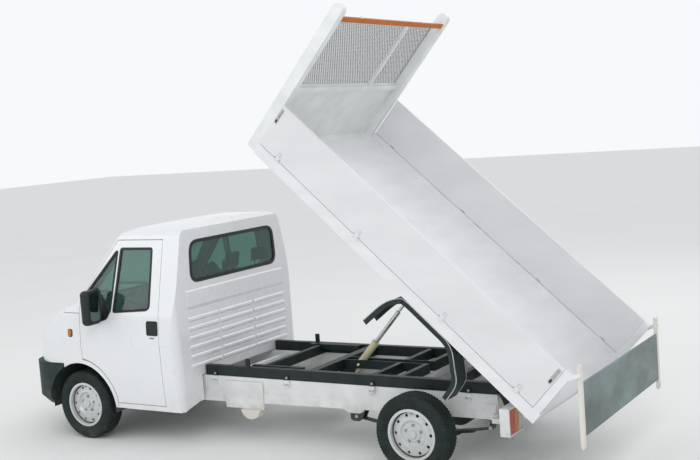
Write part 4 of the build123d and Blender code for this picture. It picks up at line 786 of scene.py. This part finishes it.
def make_headboard_mesh():
    """Expanded metal: zigzag strips that meet at their corners."""
    bm = bmesh.new()
    pitch_y = 2 * MESH_HALF / MESH_COLUMNS
    pitch_n = (MESH_HEAD - MESH_FOOT - 2 * MESH_EDGE) / MESH_ROWS
    for row in range(MESH_ROWS):
        middle = MESH_FOOT + MESH_EDGE + pitch_n * (row + 0.5)
        side = 1 if row % 2 else -1
        loops = []
        for k in range(2 * MESH_COLUMNS + 1):
            swing = pitch_n / 2 * (side if k % 2 else -side)
            y = -MESH_HALF + pitch_y / 2 * k
            loops.append([bm.verts.new(on_bed(MESH_S + ds, y, middle + swing + dn)) for ds, dn in STRAND])
        close_sweep(bm, loops)
    mesh = finish_mesh("headboard_expanded_mesh", bm, mesh_steel, "bed", smooth_angle=20)
    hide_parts("headboard_mesh")


DROPSIDE_Y = 1000
LATCH_S = (-2940, 208)
LATCH_PLATE = (650, 34, 150, 10)
LATCH_LEVER = (672, 14, 74, 6)
LATCH_SLOT_SHADE = (600, 18, 34, 8)
HINGE_S = (-2741, -1750, -757, 55)
HINGE_BOLTS = ((-10, 378), (10, 378), (-10, 398), (10, 398))
HINGE_BOLT = (9, 9, 4.2)
CLIP_Y, CLIP_HALF = (-600, 500), 14
BAR_CLIP = ((-2988, 1644.5), (-2973, 1644.5), (-2973, 1658), (-2988, 1658))


def make_bed_fittings():
    """Latches, hinge bolts and bar clips on the bed, with dark slabs of painted shade in the latches' slots.
    """
    for side, sign in SIDES:
        face = bed_face(sign, DROPSIDE_Y)
        bm = bmesh.new()
        for s in LATCH_S:
            add_slab(bm, flat(s, *LATCH_PLATE), -0.5, 3, face, 2)
            add_slab(bm, flat(s, *LATCH_LEVER), 2, 11, face, 3)
        for s in HINGE_S:
            for ds, n in HINGE_BOLTS:
                add_slab(bm, flat(s + ds, n, *HINGE_BOLT), 5, 8.5, face, 1)
        finish_mesh(f"side_latches_{side}", bm, zinc_and_highlight, f"dropside_{side}", 0.0008)
        bm = bmesh.new()
        # Dark slabs in the latch slots: painted shade inside the slots
        for s in LATCH_S:
            add_slab(bm, flat(s, *LATCH_SLOT_SHADE), 2.5, 5, face, 1)
        finish_mesh(f"side_latch_slot_shades_{side}", bm, black_rubber_and_shade, f"dropside_{side}")
    bm = bmesh.new()
    clip = [Vector(p) for p in BAR_CLIP]
    for y in CLIP_Y:
        add_slab(bm, clip, y - CLIP_HALF, y + CLIP_HALF, lambda s, n, out: on_bed(s, out, n))
    finish_mesh("bar_clips", bm, white_steel, "bed", 0.001)


MUDGUARD_LINE = ((-1285, -201), (-1235, 63), (-1149, 191), (-1095, 212), (-565, 212), (-429, 80),
                 (-330, -5), (-320, -183))
MUDGUARD_Y = (785, 965)
MUDGUARD_LIP, MUDGUARD_SHEET, MUDGUARD_BEND = 45, 6, 110
# Section of the pale beads on the mudguards' edges, which are painted highlights on the lips
EDGE_HIGHLIGHT = ((-3, -4), (-3, 4), (4, 4), (4, -4))
BRACKET_S, BRACKET_LENGTH, BRACKET_N = (-1000, -620), 30, (208, 221.5)
BRACKET_INSET = (15, 25)


def open_curve(points, radius, steps=7):
    """An open line with its corners rounded."""
    result = [Vector(points[0])]
    for before, corner, after in zip(points, points[1:], points[2:]):
        result += rounded_corner(before, corner, after, radius, 0.48, steps)
    return result + [Vector(points[-1])]


def sweep_on_bed(bm, line, section, sign):
    """A closed section of (depth, y) corners along (s, n) points, with depth towards the wheel."""
    loops = []
    for i, point in enumerate(line):
        along = (line[min(i + 1, len(line) - 1)] - line[max(i - 1, 0)]).normalized()
        inwards = Vector((along.y, -along.x))
        loop = []
        for depth, y in section:
            place = point + inwards * depth
            loop.append(bm.verts.new(on_bed(place.x, sign * y, place.y)))
        loops.append(loop)
    close_sweep(bm, loops)


def make_mudguards():
    """Rounded rear mudguards with turned-down lips, a pale bead of painted highlight on each edge, and their
    brackets.
    """
    inner, outer = MUDGUARD_Y
    lip, sheet = MUDGUARD_LIP, MUDGUARD_SHEET
    low, high = BRACKET_N
    line = open_curve(MUDGUARD_LINE, MUDGUARD_BEND)
    channel = ((0, inner), (0, outer), (lip, outer), (lip, outer - sheet), (sheet, outer - sheet),
               (sheet, inner + sheet), (lip, inner + sheet), (lip, inner))
    bm = bmesh.new()
    edge_highlights = bmesh.new()
    for _, sign in SIDES:
        sweep_on_bed(bm, line, channel, sign)
        for y in (inner, outer):
            sweep_on_bed(edge_highlights, line, [(depth, y + across) for depth, across in EDGE_HIGHLIGHT], sign)
        for s in BRACKET_S:
            end = s + BRACKET_LENGTH
            outline = [Vector(p) for p in ((s, low), (end, low), (end, high), (s, high))]
            add_slab(bm, outline, inner + BRACKET_INSET[0], outer - BRACKET_INSET[1],
                     lambda s, n, out: on_bed(s, sign * out, n))
    guard = finish_mesh("mudguards", bm, bumper_plastic, "bed", 0.0015)
    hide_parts("rear_mudguards")
    finish_mesh("mudguard_edge_highlights", edge_highlights, zinc_and_highlight, "bed", 0.001)


TAIL_PIN = (338, 0, 785)
POST_SIDES = (938.5, 979.5)
WASHER_Y = 0.981
WASHER = ((0.0155, -0.001), (0.0155, 0.002), (0.012, 0.0028))
POST_FOOT = ((-15, -538), (15, -538), (17, -520), (17.5, -545), (12, -566), (0, -574), (-10, -566),
             (-15, -552))


def make_tail_fittings():
    """Rounded feet of the tailboard's posts, and their pin heads."""
    pin = on_bed(*TAIL_PIN)
    bm = bmesh.new()
    for _, sign in SIDES:
        def post(x, z, out):
            """A post's side, from the tailboard's pin."""
            return Vector((pin.x + x / 1000, sign * out / 1000, pin.z + z / 1000))

        add_slab(bm, [Vector(p) for p in POST_FOOT], *POST_SIDES, post)
    finish_mesh("tailboard_feet", bm, tail_cream, "tailboard", 0.003)
    bm = bmesh.new()
    for _, sign in SIDES:
        axis = facing((pin.x, sign * WASHER_Y, pin.z), (1, 0, 0), (0, sign, 0))
        add_lathe(bm, WASHER, axis, 20)
    finish_mesh("tailboard_washers", bm, zinc_and_highlight, "tailboard", 0.0004)


# The lamp boxes' face and middle, the lenses (name, look, y and width), their ribs and screws
LAMP_FACE, LAMP_Z = 4564, 504
LENSES = (("red", red_lens, 857, 98), ("amber", amber_lens, 768, 76), ("clear", clear_lens, 688, 80))
LENS_HEIGHT, LENS_RIBS, RIB_PITCH, RIB_HEIGHT, RIB_INSET = 196, 7, 26, 9, 14
SCREW_Y, SCREW_Z = 806, (458, 552)


def make_tail_lamps():
    """Ribbed lenses in the recesses of the lamp boxes, and their screws."""
    for side, sign in SIDES:
        def recess(y, z, out):
            """The floor of a lamp box's recess."""
            return at(LAMP_FACE + out, sign * y, z)

        for name, shader, y, width in LENSES:
            bm = bmesh.new()
            add_slab(bm, flat(y, LAMP_Z, width, LENS_HEIGHT, 8), 0.3, 9, recess, 3)
            for k in range(LENS_RIBS):
                rib_z = LAMP_Z + RIB_PITCH * (k - LENS_RIBS // 2)
                add_slab(bm, flat(y, rib_z, width - RIB_INSET, RIB_HEIGHT, 4), 8.5, 11, recess, 3)
            finish_mesh(f"tail_lens_{name}_{side}", bm, shader, "chassis", 0.0006)
        bm = bmesh.new()
        for z in SCREW_Z:
            add_slab(bm, flat(SCREW_Y, z, 8, 8, 3.8), 8, 12, recess, 1)
        finish_mesh(f"tail_lens_screws_{side}", bm, bolt_steel, "chassis")


# The brackets' x with the bolts' places on them, the spring bolts' x, and each bolt's (y, z)
TIE_BRACKETS = (1382, 2213, 3120, 4050)
TIE_BOLT_STEPS, TIE_BOLT_YZ = (18, 46), (626, 604)
RAIL_BOLT_STEP, RAIL_BOLT_YZ = 32, (611, 664)
SPRING_BOLTS, SPRING_BOLT_YZ = (2976, 4264), (614, 362)
CRADLE_PIN_PLACE = (2687, 60, 690)
TIE_BOLT = ((0.011, -0.001), (0.011, 0.002), (0.0085, 0.0022), (0.0085, 0.009), (0.003, 0.010))
RAIL_BOLT = ((0.012, -0.001), (0.012, 0.002), (0.009, 0.0022), (0.009, 0.010), (0.003, 0.011))
SPRING_BOLT = ((0.016, -0.012), (0.016, 0.004), (0.012, 0.0045), (0.012, 0.014), (0.004, 0.016))
CRADLE_PIN = ((0.012, -0.001), (0.012, 0.016), (0.009, 0.020), (0.002, 0.021))


def outwards_at(x, y, z, sign):
    """A matrix at a point on one side whose z points away from the truck's middle."""
    return facing(at(x, sign * y, z), (1, 0, 0), (0, sign, 0))


def make_chassis_fittings():
    """Bolts of the tie brackets and the springs, and the heads of the ram's cradle pin."""
    bm = bmesh.new()
    for _, sign in SIDES:
        for x in TIE_BRACKETS:
            for step in TIE_BOLT_STEPS:
                add_lathe(bm, TIE_BOLT, outwards_at(x + step, *TIE_BOLT_YZ, sign), 6)
            add_lathe(bm, RAIL_BOLT, outwards_at(x + RAIL_BOLT_STEP, *RAIL_BOLT_YZ, sign), 6)
        for x in SPRING_BOLTS:
            add_lathe(bm, SPRING_BOLT, outwards_at(x, *SPRING_BOLT_YZ, sign), 6)
    finish_mesh("chassis_bolts", bm, zinc_and_highlight, "chassis", 0.0006)
    bm = bmesh.new()
    for _, sign in SIDES:
        add_lathe(bm, CRADLE_PIN, outwards_at(*CRADLE_PIN_PLACE, sign), 20)
    finish_mesh("cradle_pins", bm, white_steel, "chassis", 0.0008)


# Each gland's start and length along the ram, outer and inner radius, body and look
GLANDS = (("ram_gland_1", 0.416, 0.029, 0.0385, 0.0345, "ram_barrel", ram_cream),
          ("ram_gland_2", 0.838, 0.0105, 0.0245, 0.0213, "ram_stage_1", bolt_steel))
GLAND_SLOPE = 0.1
COLLAR_START = 0.075
COLLAR = ((0.0345, 0.0), (0.0375, 0.004), (0.0375, 0.030), (0.0345, 0.034))


def make_ram_fittings():
    """The glands at the ends of the barrel and of the first stage, and the barrel's collar."""
    along = BED.to_3x3() @ Vector((0, 0, 1))
    base = at(*RAM_BASE)
    for name, start, length, radius, inner, body, shader in GLANDS:
        bm = bmesh.new()
        place = facing(base + along * start, (0, 1, 0), along)
        slope = GLAND_SLOPE * length
        profile = ((inner, 0.0), (radius, slope), (radius, length - slope), (inner, length))
        add_lathe(bm, profile, place, 40, close=True)
        finish_mesh(name, bm, shader, body, 0.0008)
    bm = bmesh.new()
    place = facing(base + along * COLLAR_START, (0, 1, 0), along)
    add_lathe(bm, COLLAR, place, 40, close=True)
    finish_mesh("ram_collar", bm, ram_cream, "ram_barrel", 0.0008)


# Each seat's two sides, the middles of its head rests, and where its channels run as shares
SEATS = (("driver", -690, -210, (-450,), (0.2, 0.8)),
         ("passenger", -30, 840, (190, 620), (0.12, 0.38, 0.5, 0.62, 0.88)))
SEAT_BASE = ((484, 884), (946, 884), (946, 962), (494, 996))
SEAT_BACK = ((914, 976), (1000, 976), (1116, 1546), (1060, 1546))
HEAD_REST = ((1070, 1576), (1112, 1576), (1136, 1722), (1096, 1722))
PLINTH = ((500, 681), (940, 681), (940, 868), (500, 868))
SEAT_GAP, HEAD_HALF, PLINTH_INSET = 14, 108, 30
ROD_SPREAD, ROD_FOOT, ROD_TOP, ROD_RADIUS = 45, (1088, 1535), (1096, 1590), 0.006
CUSHION_BEVEL, CUSHION_VOXEL = 0.018, 0.013
SEAT_SWELL, HEAD_SWELL = 0.013, 0.010
CHANNEL_WIDTH, CHANNEL_DEPTH = 0.008, 0.007
CLOTH_STEPS, CLOTH_QUALITY, CLOTH_PRESSURE = 12, 3, 4.0


def add_side_prism(bm, outline, y1, y2):
    """A side-view outline in millimetres between two values of y."""
    add_slab(bm, [Vector(p) for p in outline], y1, y2, lambda x, z, out: at(x, out, z))


def baked(piece):
    """A copy of a piece's mesh as its modifiers leave it."""
    graph = bpy.context.evaluated_depsgraph_get()
    graph.update()
    return bpy.data.meshes.new_from_object(piece.evaluated_get(graph))


def swell(piece, cap):
    """Moves a piece's points outwards under cloth pressure, each by at most a cap."""
    scene = bpy.context.scene
    places = [v.co.copy() for v in piece.data.vertices]
    cloth = piece.modifiers.new("cloth", "CLOTH")
    cloth.settings.use_pressure = True
    cloth.settings.uniform_pressure_force = CLOTH_PRESSURE
    cloth.settings.effector_weights.gravity = 0.0
    cloth.settings.quality = CLOTH_QUALITY
    for step in range(1, CLOTH_STEPS + 1):
        scene.frame_set(step)
    swollen = baked(piece)
    piece.modifiers.clear()
    moves = [v.co.copy() for v in swollen.vertices]
    for vertex, place, moved in zip(piece.data.vertices, places, moves):
        shift = moved - place
        if shift.length > cap:
            shift *= cap / shift.length
        vertex.co = place + shift
    bpy.data.meshes.remove(swollen)
    scene.frame_set(1)


def make_cushion(name, outline, y1, y2, cap, channels=()):
    """A padded block, swollen up to a cap, with sewn channels along x."""
    bm = bmesh.new()
    add_side_prism(bm, outline, y1, y2)
    piece = finish_mesh(name, bm, seat_cloth, "chassis", CUSHION_BEVEL, 180)
    piece.modifiers["bevel"].segments = 3
    remesh = piece.modifiers.new("remesh", "REMESH")
    remesh.mode = "VOXEL"
    remesh.voxel_size = CUSHION_VOXEL
    remesh.use_smooth_shade = True
    start = baked(piece)
    piece.modifiers.clear()
    piece.data = start
    swell(piece, cap)
    for vertex in start.vertices:
        for y in channels:
            depth = math.exp(-((vertex.co.y - y / 1000) / CHANNEL_WIDTH) ** 2)
            vertex.co -= Vector(vertex.normal) * (CHANNEL_DEPTH * depth)
    start.materials.clear()
    start.materials.append(seat_cloth.material)
    for polygon in start.polygons:
        polygon.use_smooth = True
    smooth = piece.modifiers.new("smooth", "SUBSURF")
    smooth.levels = 1
    smooth.render_levels = 1
    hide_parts("seats")


def make_seats():
    """The driver's seat and the double passenger seat."""
    for name, y1, y2, heads, shares in SEATS:
        channels = [y1 + (y2 - y1) * share for share in shares]
        low, high = y1 + SEAT_GAP, y2 - SEAT_GAP
        make_cushion(f"seat_{name}_base", SEAT_BASE, low, high, SEAT_SWELL, channels)
        make_cushion(f"seat_{name}_back", SEAT_BACK, low, high, SEAT_SWELL, channels)
        for i, y in enumerate(heads):
            make_cushion(f"seat_{name}_head_{i + 1}", HEAD_REST, y - HEAD_HALF, y + HEAD_HALF, HEAD_SWELL)
            bm = bmesh.new()
            for rod_y in (y - ROD_SPREAD, y + ROD_SPREAD):
                foot, top = (at(x, rod_y, z) for x, z in (ROD_FOOT, ROD_TOP))
                add_rod(bm, foot, top, ROD_RADIUS, 12)
            finish_mesh(f"seat_{name}_head_rods_{i + 1}", bm, bolt_steel, "chassis")
        bm = bmesh.new()
        add_side_prism(bm, PLINTH, y1 + PLINTH_INSET, y2 - PLINTH_INSET)
        plinth = finish_mesh(f"seat_{name}_plinth", bm, cabin_plastic, "chassis", 0.012)
        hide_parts("seats")


for end, axle in (("front", AXLE_X), ("rear", REAR_AXLE_X)):
    for side, sign in SIDES:
        make_tyre(end, side, sign, axle)
        make_wheel_trim(end, side, sign, axle)
make_seats()
make_window_seals()
make_door_fittings()
make_wipers()
make_arch_shade_liners()
make_headboard_mesh()
make_bed_fittings()
make_mudguards()
make_tail_fittings()
make_tail_lamps()
make_chassis_fittings()
make_ram_fittings()

make_camera()
make_world()
for lamp in LAMPS:
    make_area_light(*lamp)
make_floor()
bpy.context.scene.view_settings.view_transform = "Standard"
